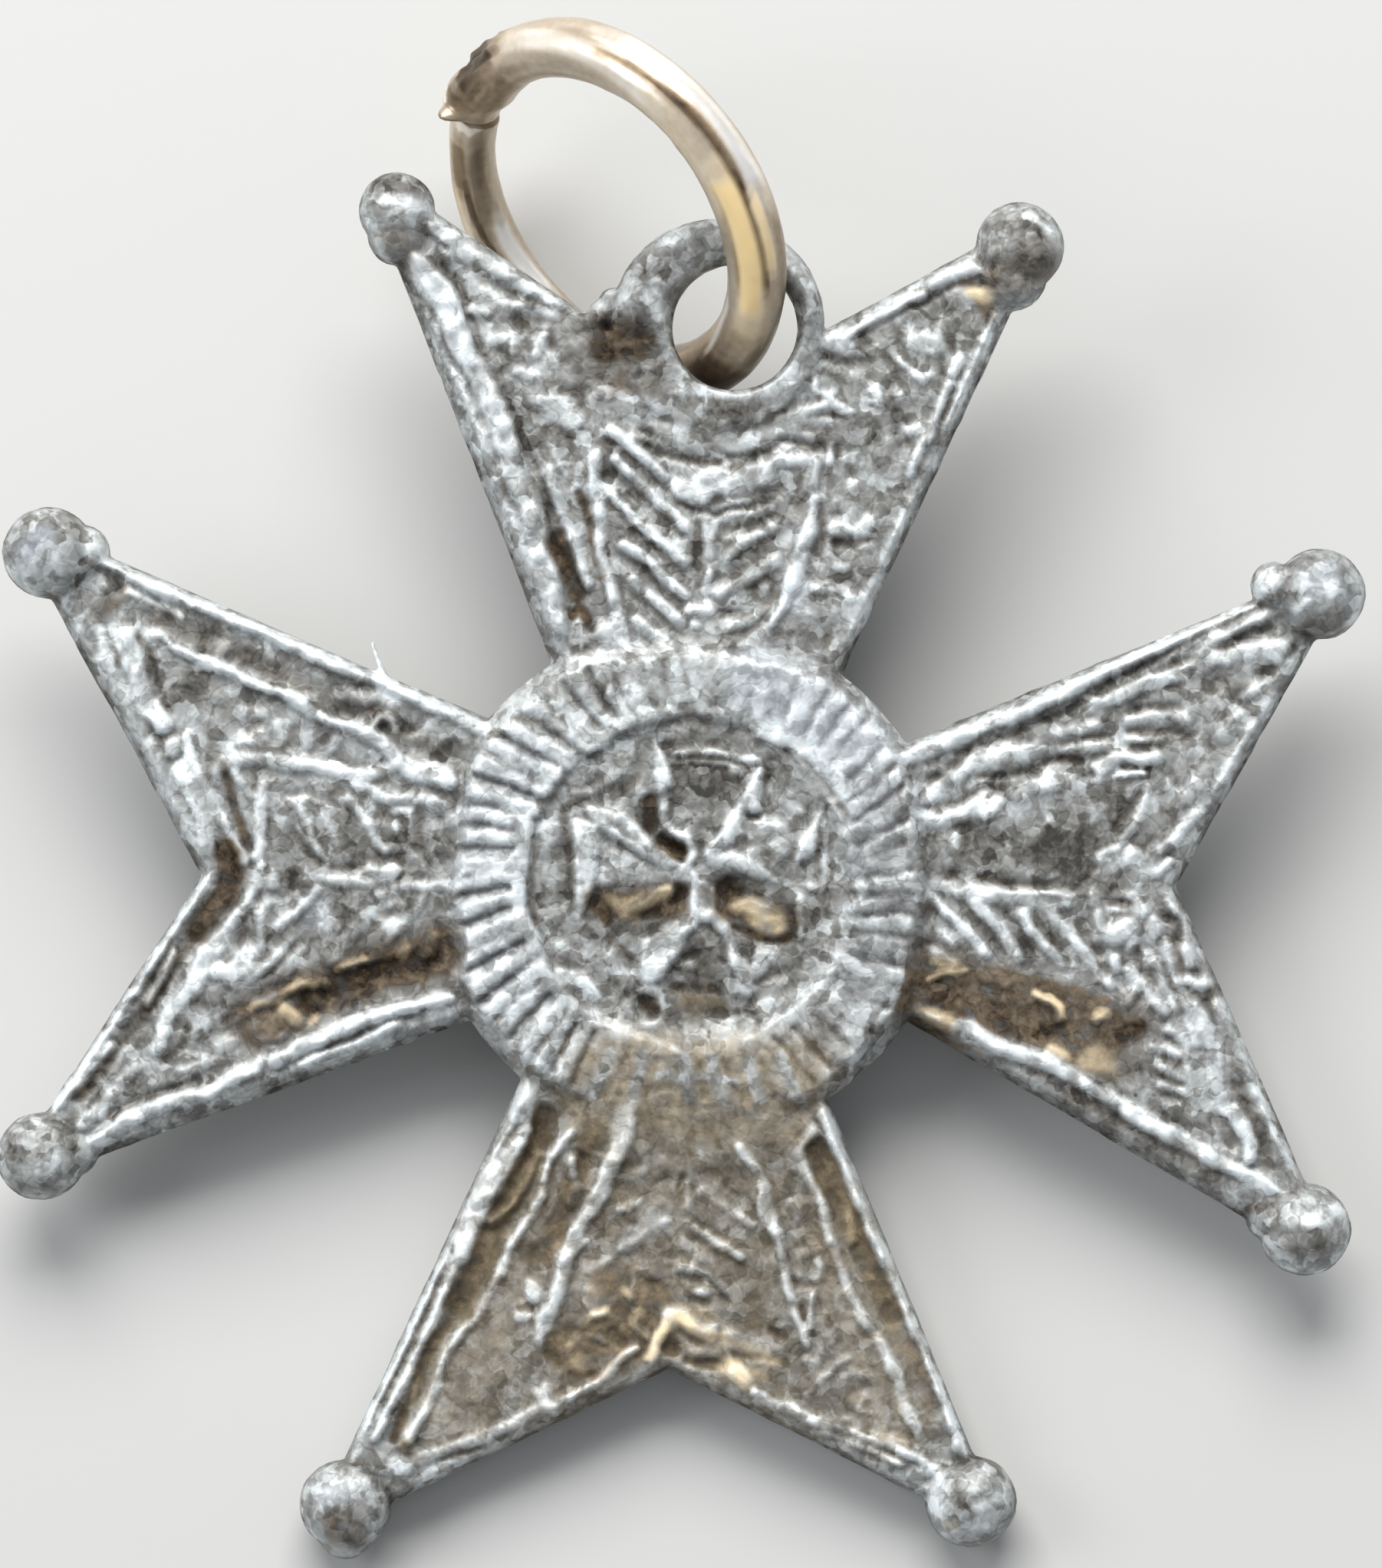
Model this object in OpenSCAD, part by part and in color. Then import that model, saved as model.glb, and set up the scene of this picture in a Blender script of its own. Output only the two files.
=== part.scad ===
// A miniature medal: a cast eight-pointed cross with ball finials, lying face up,
// its jump ring leaning under the top arm. Millimetres, +Z up, +Y towards the top arm.

/* [Cross] */
// Distance from the centre to a ball, measured along the arm
tip_reach = 8.3; // [8.1:0.05:8.6]
// Distance from an arm's middle line to each of its balls
tip_spread = 4.05; // [3.9:0.05:4.2]
// Distance from the centre to the bottom of an arm's notch
notch_reach = 6.35; // [6.2:0.05:6.5]
// Half the width of an arm where it leaves the medallion
waist_half = 1.93; // [1.85:0.01:2]
// Height at which an arm leaves the medallion
waist_reach = 2.8; // [2.7:0.05:2.9]
// Thickness from the flat back to the sunk field of an arm
field_t = 0.6; // [0.5:0.05:0.7]
// Height of the raised rims above the sunk field
rim_h = 0.32; // [0.25:0.01:0.4]
// Width of a raised rim at its foot
rim_w = 0.54; // [0.46:0.02:0.6]
// Distance that a rim's crest stands inside the middle of its foot
rim_lean = 0.09; // [0:0.01:0.12]
// Diameter of a ball finial
ball_d = 1.18; // [1.05:0.01:1.25]
// Width of an arm's tip where it enters its ball
neck_w = 0.54; // [0.48:0.02:0.6]

/* [Arm panels] */
// Number of slanting strokes on each side of a panel
stroke_count = 6; // [4:1:6]
// Distance from one stroke to the next
stroke_pitch = 0.4; // [0.36:0.01:0.42]
// Rise of a stroke from the middle line outwards, in degrees
stroke_slope = 35; // [28:1:40]
// Height of the strokes and inner ridges above the field
ridge_h = 0.2; // [0.14:0.01:0.24]

/* [Medallion] */
// Diameter of the medallion
medallion_d = 6.72; // [6.6:0.02:6.8]
// Number of ribs in the wreath
rib_count = 48; // [40:2:50]
// Diameter of the bead ring inside the wreath
bead_ring_d = 4.4; // [4.3:0.05:4.5]
// Length of a small raised cross arm from its centre
small_reach = 1.5; // [1.3:0.05:1.6]

/* [Eyelet] */
// Outer diameter of the eyelet
eyelet_d = 2.78; // [2.7:0.02:2.9]
// Diameter of the hole through the eyelet
eyelet_hole_d = 1.64; // [1.6:0.02:1.7]

/* [Jump ring] */
// Diameter of the ring along the middle of its wire
ring_d = 4.76; // [4.72:0.02:4.8]
// Diameter of the wire
wire_d = 0.78; // [0.7:0.01:0.8]
// Diameter of the worn stretch of wire beside the joint
worn_wire_d = 0.66; // [0.6:0.01:0.7]
// Gap between the two ends of the wire, in degrees round the ring
joint_gap = 2.5; // [1.5:0.5:4]

/* [Hidden] */

silver = [0.62, 0.63, 0.64];
pale_gold = [0.80, 0.72, 0.58];

// Heights inside the casting, measured from the middle of its thickness
back_z = -0.45;
field_z = back_z + field_t;
medallion_z = 0.38;
medallion_field_z = 0.25;
small_cross_z = 0.5;
eyelet_z = 0.4;
back_disc_r = 3;
back_disc_h = 0.12;

// Every ridge is rooted below the surface that it stands on. Each kind has its own
// depth, so that no two roots share a plane.
sunk = 0.1;
sunk_step = 0.01;

// Widths across the feet and the crests of the ridges
rim_crest = 0.12;
notch_rim_share = 0.92;
rim_setback = 0.02;
inner_crest = 0.08;
stroke_w = 0.22;
spine_w = 0.18;
fine_crest = 0.05;
rib_w = 0.25;
rib_crest = 0.07;
rib_h = 0.18;
bead_wire_r = 0.12;

// The casting is uneven, so each tip has its own place.
// Columns: side of the arm, extra spread, extra reach, size of the ball
UNEVEN_TIPS = [
    [[-1, 0.06, 0.33, 0.84], [1, -0.02, 0.14, 0.98]],
    [[-1, -0.18, 0.02, 0.98], [1, -0.05, 0.20, 1.02]],
    [[-1, -0.09, -0.36, 1.02], [1, 0.14, -0.03, 1.02]],
    [[-1, -0.01, -0.21, 1.02], [1, 0.20, -0.11, 1.02]],
];
// Columns: sideways shift of the notch, left waist outwards, left waist up,
// right waist outwards, right waist up
UNEVEN_WAISTS = [
    [0, -0.05, -0.02, 0, 0.05],
    [-0.14, 0, 0.06, 0.08, -0.16],
    [0.04, 0.03, 0.08, 0.19, -0.11],
    [-0.17, -0.03, -0.05, -0.17, 0.2],
];
ARM_TURN = 90;
ARM_ROOT = 0.6;
// Share of the top arm's notch edges that the eyelet covers
EYELET_COVER = 0.4;

// Ridges of an arm, mirrored about its middle line.
// Columns: start sideways, start reach, end sideways, end reach, width at the foot
SIDE_RIDGES = [
    [1.36, 3.12, 2.92, 6.9, 0.3],
    [0.84, 3.15, 1.56, 5.7, 0.26],
];
V_RIDGES = [
    [0.02, 5.48, 1.5, 5.92, 0.3],
    [0.02, 5.36, 1.75, 6.38, 0.3],
    [0.02, 5.36, 1.75, 6.38, 0.3],
    [0.02, 5.36, 1.75, 6.38, 0.3],
];
SPINE_START = 3.2;
SPINE_END = 5.42;

// Heights of the kinds of ridge inside the rims
side_ridge_h = ridge_h * 1.1;
v_ridge_h = ridge_h * 1.2;
stroke_h = ridge_h * 0.75;
spine_h = ridge_h * 0.9;

ball_r = ball_d / 2;
eyelet_at = [0.12, 7.27];
hole_at = [0.35, 7.24];
hole_r = eyelet_hole_d / 2;
hole_flare = 0.3;
rib_start = bead_ring_d / 2 + bead_wire_r * 1.5;
rib_end = medallion_d / 2 - rib_w;
small_cross_at = [0.1, 0.12];

// Lie of the ring in the cross's own frame
ring_r = ring_d / 2;
ring_centre = [-1.29, 8.72, -0.4];
ring_turn = -50.5;
ring_lean = 51.3;
joint_at = -157;
worn_to = -62;

// The medal rests on its two lower balls and on the lowest point of the ring
low_arm = 2;
low_left = tip(low_arm, 1);
low_right = tip(low_arm, 0);
low_ball_r = tip_size(low_arm, 1);
tilt_allowance = 0.02;
ring_drop = ring_r * sin(ring_lean) + worn_wire_d / 2 - ring_centre[2] + tilt_allowance;
ring_low_y = ring_centre[1] - ring_r * cos(ring_lean) * cos(ring_turn);
rest_tilt = atan((ring_drop - low_ball_r) / (ring_low_y + low_left[1]));
rest_roll = asin((low_left[1] - low_right[1]) * sin(rest_tilt) / (low_left[0] - low_right[0]));
lift = low_ball_r + low_left[1] * sin(rest_tilt) - low_left[0] * sin(rest_roll);
centring = [0.15, -1.12];

function tip(arm, end) =
    let (t = UNEVEN_TIPS[arm][end])
    [t[0] * (tip_spread + t[1]), tip_reach + t[2]];
function tip_size(arm, end) = ball_r * UNEVEN_TIPS[arm][end][3];
function notch(arm) = [UNEVEN_WAISTS[arm][0], notch_reach];
function waist(arm, end) =
    let (w = UNEVEN_WAISTS[arm], k = 1 + 2 * end, side = 2 * end - 1)
    [side * (waist_half + w[k]), waist_reach + w[k + 1]];
function unit(v) = v / norm(v);
function left_of(v) = [-v[1], v[0]];
function turned(p, a) = [p[0] * cos(a) - p[1] * sin(a), p[0] * sin(a) + p[1] * cos(a)];

// The two corners where an arm's tip ends inside its ball
function tip_corners(arm, end) =
    let (
        t = tip(arm, end),
        along = unit(t - (notch(arm) + waist(arm, end)) / 2),
        across = left_of(along) * neck_w / 2
    )
    [t + across, t - across];

// A straight ridge from p to q with a sloping flank on each side.
// lean moves its crest to the left of the way from p to q.
module ridge(p, q, foot_w, crest_w, foot_z, crest_z, lean = 0) {
    d = q - p;
    translate([p[0], p[1], foot_z])
        rotate([0, 0, atan2(d[1], d[0])])
            rotate([90, 0, 90])
                linear_extrude(norm(d))
                    polygon([
                        [-foot_w / 2, 0],
                        [foot_w / 2, 0],
                        [lean + crest_w / 2, crest_z - foot_z],
                        [lean - crest_w / 2, crest_z - foot_z]
                    ]);
}

function root_z(step) = field_z - sunk - step * sunk_step;

module arm_plate(arm) {
    left = tip_corners(arm, 0);
    right = tip_corners(arm, 1);
    translate([0, 0, back_z])
        linear_extrude(field_t)
            polygon(concat(
                [[-ARM_ROOT, ARM_ROOT], waist(arm, 0)], left, [notch(arm)], right,
                [waist(arm, 1), [ARM_ROOT, ARM_ROOT]]
            ));
}

// Rims along both sides and along the notch
module arm_rims(arm) {
    inset = rim_w / 2 + rim_setback;
    notch_w = rim_w * notch_rim_share;
    for (end = [0, 1]) {
        t = tip(arm, end);
        w = waist(arm, end);
        side = 2 * end - 1;
        along = unit(t - w);
        inward = left_of(along) * side;
        ridge(w + inward * inset, t, rim_w, rim_crest, root_z(0), field_z + rim_h,
            side * rim_lean);
        v = notch(arm);
        v_start = arm == 0 ? v + (t - v) * EYELET_COVER : v;
        down = left_of(unit(t - v)) * -side;
        ridge(v_start + down * inset, t + down * rim_crest / 2, notch_w, rim_crest,
            root_z(1), field_z + rim_h * notch_rim_share, -side * rim_lean);
    }
}

// Inner ridges, the middle spine and the slanting strokes of the panel
module arm_panel(arm) {
    for (side = [-1, 1]) {
        for (i = [0 : len(SIDE_RIDGES) - 1]) {
            r = SIDE_RIDGES[i];
            ridge([side * r[0], r[1]], [side * r[2], r[3]], r[4], inner_crest,
                root_z(2 + i), field_z + side_ridge_h);
        }
        v = V_RIDGES[arm];
        ridge([side * v[0], v[1]], [side * v[2], v[3]], v[4], inner_crest,
            root_z(4), field_z + v_ridge_h);
        inner = SIDE_RIDGES[1];
        slant = (inner[2] - inner[0]) / (inner[3] - inner[1]);
        for (k = [0 : stroke_count - 1]) {
            y0 = SPINE_START + k * stroke_pitch;
            reach = (inner[0] + (y0 - inner[1]) * slant) / (1 - slant * tan(stroke_slope));
            ridge([side * fine_crest, y0], [side * reach, y0 + reach * tan(stroke_slope)],
                stroke_w, fine_crest, root_z(5), field_z + stroke_h);
        }
    }
    ridge([0, SPINE_START - spine_w], [0, SPINE_END], spine_w, fine_crest,
        root_z(6), field_z + spine_h);
}

// A ball on each tip, with the seam of its surface on the side away from the arm
module arm_balls(arm) {
    for (end = [0, 1]) {
        t = tip(arm, end);
        translate([t[0], t[1], 0])
            rotate([0, 0, ARM_TURN])
                sphere(r = tip_size(arm, end), $fn = 40);
    }
}

// A plain disc stands out at the back, and the face has a sloping edge, a flat band
// for the ribs and a sunk middle.
module medallion() {
    r = medallion_d / 2;
    band_r = bead_ring_d / 2 - bead_wire_r / 2;
    slope_w = 0.2;
    rotate_extrude($fn = 96)
        polygon([
            [0, back_z - back_disc_h],
            [back_disc_r, back_z - back_disc_h],
            [back_disc_r + back_disc_h, back_z],
            [r, back_z + sunk_step],
            [r, medallion_z - slope_w],
            [r - slope_w, medallion_z],
            [band_r, medallion_z],
            [band_r - bead_wire_r / 2, medallion_field_z],
            [0, medallion_field_z]
        ]);
    rotate_extrude($fn = 96)
        translate([bead_ring_d / 2, medallion_z + bead_wire_r / 4])
            circle(r = bead_wire_r, $fn = 24);
    for (i = [0 : rib_count - 1]) {
        turn = i * 360 / rib_count;
        ridge(turned([rib_start, 0], turn), turned([rib_end, 0], turn), rib_w, rib_crest,
            medallion_z - sunk, medallion_z + rib_h);
    }
    small_cross();
}

// Four arms that widen outwards, each with a shallow notch in its end
module small_cross() {
    root = 0.15;
    flare = small_reach * 0.43;
    notch_y = small_reach * 0.84;
    arm_points = [[-root, root], [-flare, small_reach], [0, notch_y], [flare, small_reach]];
    translate([small_cross_at[0], small_cross_at[1], medallion_field_z - sunk])
        linear_extrude(small_cross_z - medallion_field_z + sunk)
            polygon([for (k = [0 : 3]) for (p = arm_points) turned(p, -ARM_TURN * k)]);
}

// A disc with a worn, rounded upper edge and a small chamfer at the back
module eyelet() {
    r = eyelet_d / 2;
    round_w = 0.26;
    chamfer = 0.12;
    translate([eyelet_at[0], eyelet_at[1], 0])
        rotate_extrude($fn = 72)
            polygon([
                [0, back_z],
                [r - chamfer, back_z],
                [r, back_z + chamfer],
                [r, eyelet_z - round_w],
                [r - round_w / 3, eyelet_z - round_w / 3],
                [r - round_w, eyelet_z],
                [0, eyelet_z]
            ]);
}

// Cutter for the hole, wider towards both faces as a worn eyelet is
module eyelet_hole() {
    wide_r = hole_r + hole_flare;
    below = back_z - hole_flare;
    above = eyelet_z + hole_flare;
    lower = [for (a = [0 : 15 : 90])
        [wide_r - hole_flare * sin(a), back_z + hole_flare * (1 - cos(a))]];
    upper = [for (a = [90 : -15 : 0])
        [wide_r - hole_flare * sin(a), eyelet_z - hole_flare * (1 - cos(a))]];
    translate([hole_at[0], hole_at[1], 0])
        rotate_extrude($fn = 72)
            polygon(concat(
                [[0, below], [wide_r, below]], lower, upper, [[wide_r, above], [0, above]]
            ));
}

// Lays the cross's own frame on the surface: top arm raised by the ring under it
module at_rest() {
    translate([centring[0], centring[1], lift])
        rotate([rest_tilt, rest_roll, 0])
            children();
}

module cross_body() {
    color(silver)
        at_rest()
            difference() {
                union() {
                    for (arm = [0 : 3]) {
                        rotate([0, 0, arm * ARM_TURN]) {
                            arm_plate(arm);
                            arm_rims(arm);
                            arm_panel(arm);
                            arm_balls(arm);
                        }
                    }
                    medallion();
                    eyelet();
                }
                eyelet_hole();
            }
}

module wire_arc(from, to, d) {
    rotate([0, 0, from])
        rotate_extrude(angle = to - from, $fn = 96)
            translate([ring_r, 0])
                circle(d = d, $fn = 32);
}

module jump_ring() {
    first = joint_at + joint_gap / 2;
    last = joint_at + 360 - joint_gap / 2;
    color(pale_gold)
        at_rest()
            translate(ring_centre)
                rotate([0, 0, ring_turn])
                    rotate([ring_lean, 0, 0]) {
                        wire_arc(first, worn_to, worn_wire_d);
                        wire_arc(worn_to - 1, last, wire_d);
                    }
}

cross_body();
jump_ring();
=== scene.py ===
# %% [markdown]
# # A worn miniature medal
# The object is a cast cross about 18 mm wide, with a small ball on each of its eight tips,
# a ribbed round centre, an eyelet at the top and a wire jump ring. It lies face up, with its
# top arm propped on the leaning ring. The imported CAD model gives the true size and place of
# both pieces. This script dresses them: it makes a finely cast and worn surface for the
# cross, a rubbed wire ring, their metals, a pale floor, soft light and the camera.

# %% The fixed frame
import math
from functools import partial

import bmesh
import bpy
import numpy as np
from mathutils import Matrix, Vector


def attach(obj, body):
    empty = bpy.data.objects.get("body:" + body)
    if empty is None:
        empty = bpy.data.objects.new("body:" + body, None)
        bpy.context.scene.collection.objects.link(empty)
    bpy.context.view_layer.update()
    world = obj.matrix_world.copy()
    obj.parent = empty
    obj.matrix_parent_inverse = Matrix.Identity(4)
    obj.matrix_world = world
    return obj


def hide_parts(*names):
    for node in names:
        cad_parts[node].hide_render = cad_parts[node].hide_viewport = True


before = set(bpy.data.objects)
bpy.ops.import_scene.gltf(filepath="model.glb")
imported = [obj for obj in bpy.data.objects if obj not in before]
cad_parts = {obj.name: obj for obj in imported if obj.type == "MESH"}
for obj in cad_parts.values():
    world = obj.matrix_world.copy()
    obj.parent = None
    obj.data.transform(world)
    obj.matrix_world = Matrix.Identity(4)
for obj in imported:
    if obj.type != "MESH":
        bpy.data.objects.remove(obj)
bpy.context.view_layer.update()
MM = 0.001

# %% [markdown]
# ## The cross's own frame
# All shapes are easiest to give in the cross's own frame: millimetres, the face flat, the
# top arm along +Y and the centre at the origin. The real cross lies tilted, because the ring
# lifts its top arm. One matrix holds that lie, so every piece is modelled flat and is laid
# down in one step at the end.

# %% How the cross lies
REST_TILT = math.radians(7.1257)
REST_ROLL = math.radians(0.2878)
REST_PLACE = Vector((0.15, -1.12, 1.6066))
LIE = (
    Matrix.Scale(MM, 4)
    @ Matrix.Translation(REST_PLACE)
    @ Matrix.Rotation(REST_ROLL, 4, "Y")
    @ Matrix.Rotation(REST_TILT, 4, "X")
)
FLAT = LIE.inverted()
FACE_UP = (LIE.to_3x3() @ Vector((0, 0, 1))).normalized()
print("face normal:", tuple(round(c, 3) for c in FACE_UP))

# %% [markdown]
# ## Camera
# The photograph looks straight down on the face, and the cross is turned two degrees
# clockwise in it. The camera therefore stands on the face's own normal. A long lens keeps
# the raised ring from swelling. The picture is 1802 by 2044 pixels, and a hundredth of a
# millimetre on the face is one pixel, so the frame's height fixes the focal length.

# %% The camera over the face
PIXEL = 0.01
PICTURE_W, PICTURE_H = 1802, 2044
FACE_CENTRE_PX = (898, 1150)
CLOCKWISE = math.radians(2.0)
CAMERA_FAR = 140.0
SENSOR = 36.0

up_flat = Vector((-math.sin(CLOCKWISE), math.cos(CLOCKWISE), 0))
right_flat = Vector((math.cos(CLOCKWISE), math.sin(CLOCKWISE), 0))
aim_flat = (
    right_flat * (PICTURE_W / 2 - FACE_CENTRE_PX[0]) * PIXEL
    + up_flat * (FACE_CENTRE_PX[1] - PICTURE_H / 2) * PIXEL
)


def placed(name, data):
    """Makes an object of the data and links it to the scene."""
    made = bpy.data.objects.new(name, data)
    bpy.context.scene.collection.objects.link(made)
    return made


camera_data = bpy.data.cameras.new("camera")
camera = placed("camera", camera_data)
camera_data.sensor_width = SENSOR
camera_data.lens = SENSOR * CAMERA_FAR / (PICTURE_H * PIXEL)
turn = Matrix.Identity(3)
turn.col[0] = (LIE.to_3x3() @ right_flat).normalized()
turn.col[1] = (LIE.to_3x3() @ up_flat).normalized()
turn.col[2] = FACE_UP
stand = LIE @ (aim_flat + Vector((0, 0, CAMERA_FAR)))
camera.matrix_world = Matrix.Translation(stand) @ turn.to_4x4()
camera_data.clip_start = 0.01
camera_data.clip_end = 10.0
bpy.context.scene.camera = camera
print("lens:", round(camera_data.lens, 1), "mm, aimed at", tuple(round(c, 2) for c in aim_flat))

# %% [markdown]
# ## The relief is drawn as a height map in code
# The face was cast from a hand-cut mould: rims, ridges, slanting strokes, a wreath of ribs
# and a small cross, all uneven and worn. Modelling each stroke as its own solid gives clean
# steps that a casting never has. Sculpting by hand can't be written down. So the relief is
# drawn as heights on a fine square grid, with lines and areas placed in millimetres, and the
# mesh is then lifted to it. The same grid says later which places are crests and hollows.

# %% The drawing grid and its noise
CELL = 0.02
HALF = 9.6
SIDE = 2 * round(HALF / CELL) + 1
LINE = np.linspace(-HALF, HALF, SIDE, dtype=np.float32)
GRID_X, GRID_Y = np.meshgrid(LINE, LINE)
rng = np.random.default_rng(1889)


def upsample(coarse, count):
    """Smoothly stretches a small square of numbers to count by count."""
    at = np.linspace(0, coarse.shape[0] - 1.001, count)
    low = at.astype(int)
    part = at - low
    part = (part * part * (3 - 2 * part)).astype(np.float32)
    rows = coarse[low] * (1 - part)[:, None] + coarse[low + 1] * part[:, None]
    return rows[:, low] * (1 - part) + rows[:, low + 1] * part


def noise(size_mm):
    """Soft noise from -1 to 1 over the whole grid, with lumps of about that size."""
    count = int(2 * HALF / size_mm) + 2
    return upsample(rng.uniform(-1, 1, (count, count)).astype(np.float32), SIDE)


def blurred(field, radius_mm):
    """Blurs by three passes of a moving mean, which is close to a bell curve."""
    reach = max(1, round(radius_mm / CELL / 1.7))
    width = 2 * reach + 1
    for axis in (0, 1):
        for _ in range(3):
            pad = [(0, 0), (0, 0)]
            pad[axis] = (reach + 1, reach)
            total = np.cumsum(np.pad(field, pad, mode="edge"), axis=axis, dtype=np.float64)
            if axis == 0:
                field = ((total[width:] - total[:-width]) / width).astype(np.float32)
            else:
                field = ((total[:, width:] - total[:, :-width]) / width).astype(np.float32)
    return field


print("a cell of the grid is", CELL, "mm wide")

# %% Five fields of noise
# Warp bends strokes a little, smear makes stains ragged, uneven varies every rise
WARP_X = 0.035 * noise(0.5) + 0.018 * noise(0.2) + 0.012 * noise(0.1)
WARP_Y = 0.035 * noise(0.5) + 0.018 * noise(0.2) + 0.012 * noise(0.1)
SMEAR_X = 0.1 * noise(0.7) + 0.05 * noise(0.25)
SMEAR_Y = 0.1 * noise(0.7) + 0.05 * noise(0.25)
UNEVEN = np.clip(1 + 0.3 * noise(0.45) + 0.34 * np.tanh(2.5 * noise(0.18)), 0.25, 1.5)
NOISES = (WARP_X, WARP_Y, SMEAR_X, SMEAR_Y, UNEVEN)
print("grid:", SIDE, "by", SIDE, "cells of", CELL, "mm")

# %% [markdown]
# ## Lines and areas on the relief
# Every ridge is a broken line with a width and a rise, and every groove is one with a depth.
# The distance from a grid cell to the line gives a rounded profile, like the mark of a round
# graver. A plate is a flat piece with straight edges, for the blades of the small cross. A
# stain only colours: it lays dirt, tan and a cool tint, and it also paints light and shade,
# such as highlights on the balls. A rub takes brown off a crest. Places are first shifted by
# soft noise and rises are made uneven, because no stroke of the old mould is straight or even.
# The patch's wear scales the strokes that follow it, where they are rubbed lower or stand
# sharper than the rest.

# %% The part of the grid that holds an arm
ARM_FROM, ARM_HALF_WIDTH = 1.9, 5.2
ARM_ROWS = slice(int((HALF + ARM_FROM) / CELL), SIDE)
ARM_COLS = slice(int((HALF - ARM_HALF_WIDTH) / CELL), int((HALF + ARM_HALF_WIDTH) / CELL) + 1)
ARM_X = GRID_X[ARM_ROWS, ARM_COLS]
ARM_Y = GRID_Y[ARM_ROWS, ARM_COLS]
print("arm patch:", ARM_X.shape, "cells")

# %% Distances, arcs and soft steps
FAR_AWAY = 99.0


def window(xs, ys, points, margin):
    """The rows and columns of a regular patch that hold the points and a margin."""
    px = [p[0] for p in points]
    py = [p[1] for p in points]
    col = [int((v - xs[0, 0]) / CELL) for v in (min(px) - margin, max(px) + margin)]
    row = [int((v - ys[0, 0]) / CELL) for v in (min(py) - margin, max(py) + margin)]
    return slice(max(row[0], 0), max(row[1] + 2, 1)), slice(max(col[0], 0), max(col[1] + 2, 1))


def distance_to(points, xs, ys):
    """Distance of each cell from a broken line, and how far along it the nearest point is."""
    if len(points) == 1:
        points = [points[0], (points[0][0] + 0.01, points[0][1])]
    near = np.full(xs.shape, FAR_AWAY, np.float32)
    share = np.zeros(xs.shape, np.float32)
    lengths = [math.dist(a, b) for a, b in zip(points, points[1:])]
    done = 0.0
    for (ax, ay), (bx, by), length in zip(points, points[1:], lengths):
        dx, dy = (bx - ax) / length, (by - ay) / length
        along = np.clip((xs - ax) * dx + (ys - ay) * dy, 0, length)
        away = np.hypot(xs - ax - along * dx, ys - ay - along * dy)
        closer = away < near
        near[closer] = away[closer]
        share[closer] = ((done + along) / sum(lengths))[closer]
        done += length
    return near, share


def polar(radius, degrees, centre=(0.0, 0.0)):
    angle = math.radians(degrees)
    return centre[0] + radius * math.cos(angle), centre[1] + radius * math.sin(angle)


def arc(radius, start, end, centre=(0.0, 0.0), step=7.0):
    """Points along an arc, so that a ridge can follow it."""
    count = max(2, round(abs(end - start) / step) + 1)
    return [polar(radius, start + (end - start) * k / (count - 1), centre) for k in range(count)]


def smooth_step(low, high, value):
    """Eases from 0 at low to 1 at high. Low may be the larger of the two."""
    share = np.clip((value - low) / (high - low), 0, 1)
    return share * share * (3 - 2 * share)


print("halfway through a soft step:", float(smooth_step(0, 1, 0.5)))

# %% A patch of the relief and the strokes it takes
# Wear has left these shares of every rise and depth that was cut in the mould
RISE_LEFT = 0.33
DEPTH_LEFT = 0.5
# How much a groove darkens for each millimetre of its depth
GROOVE_SHADE = 3.5


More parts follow.
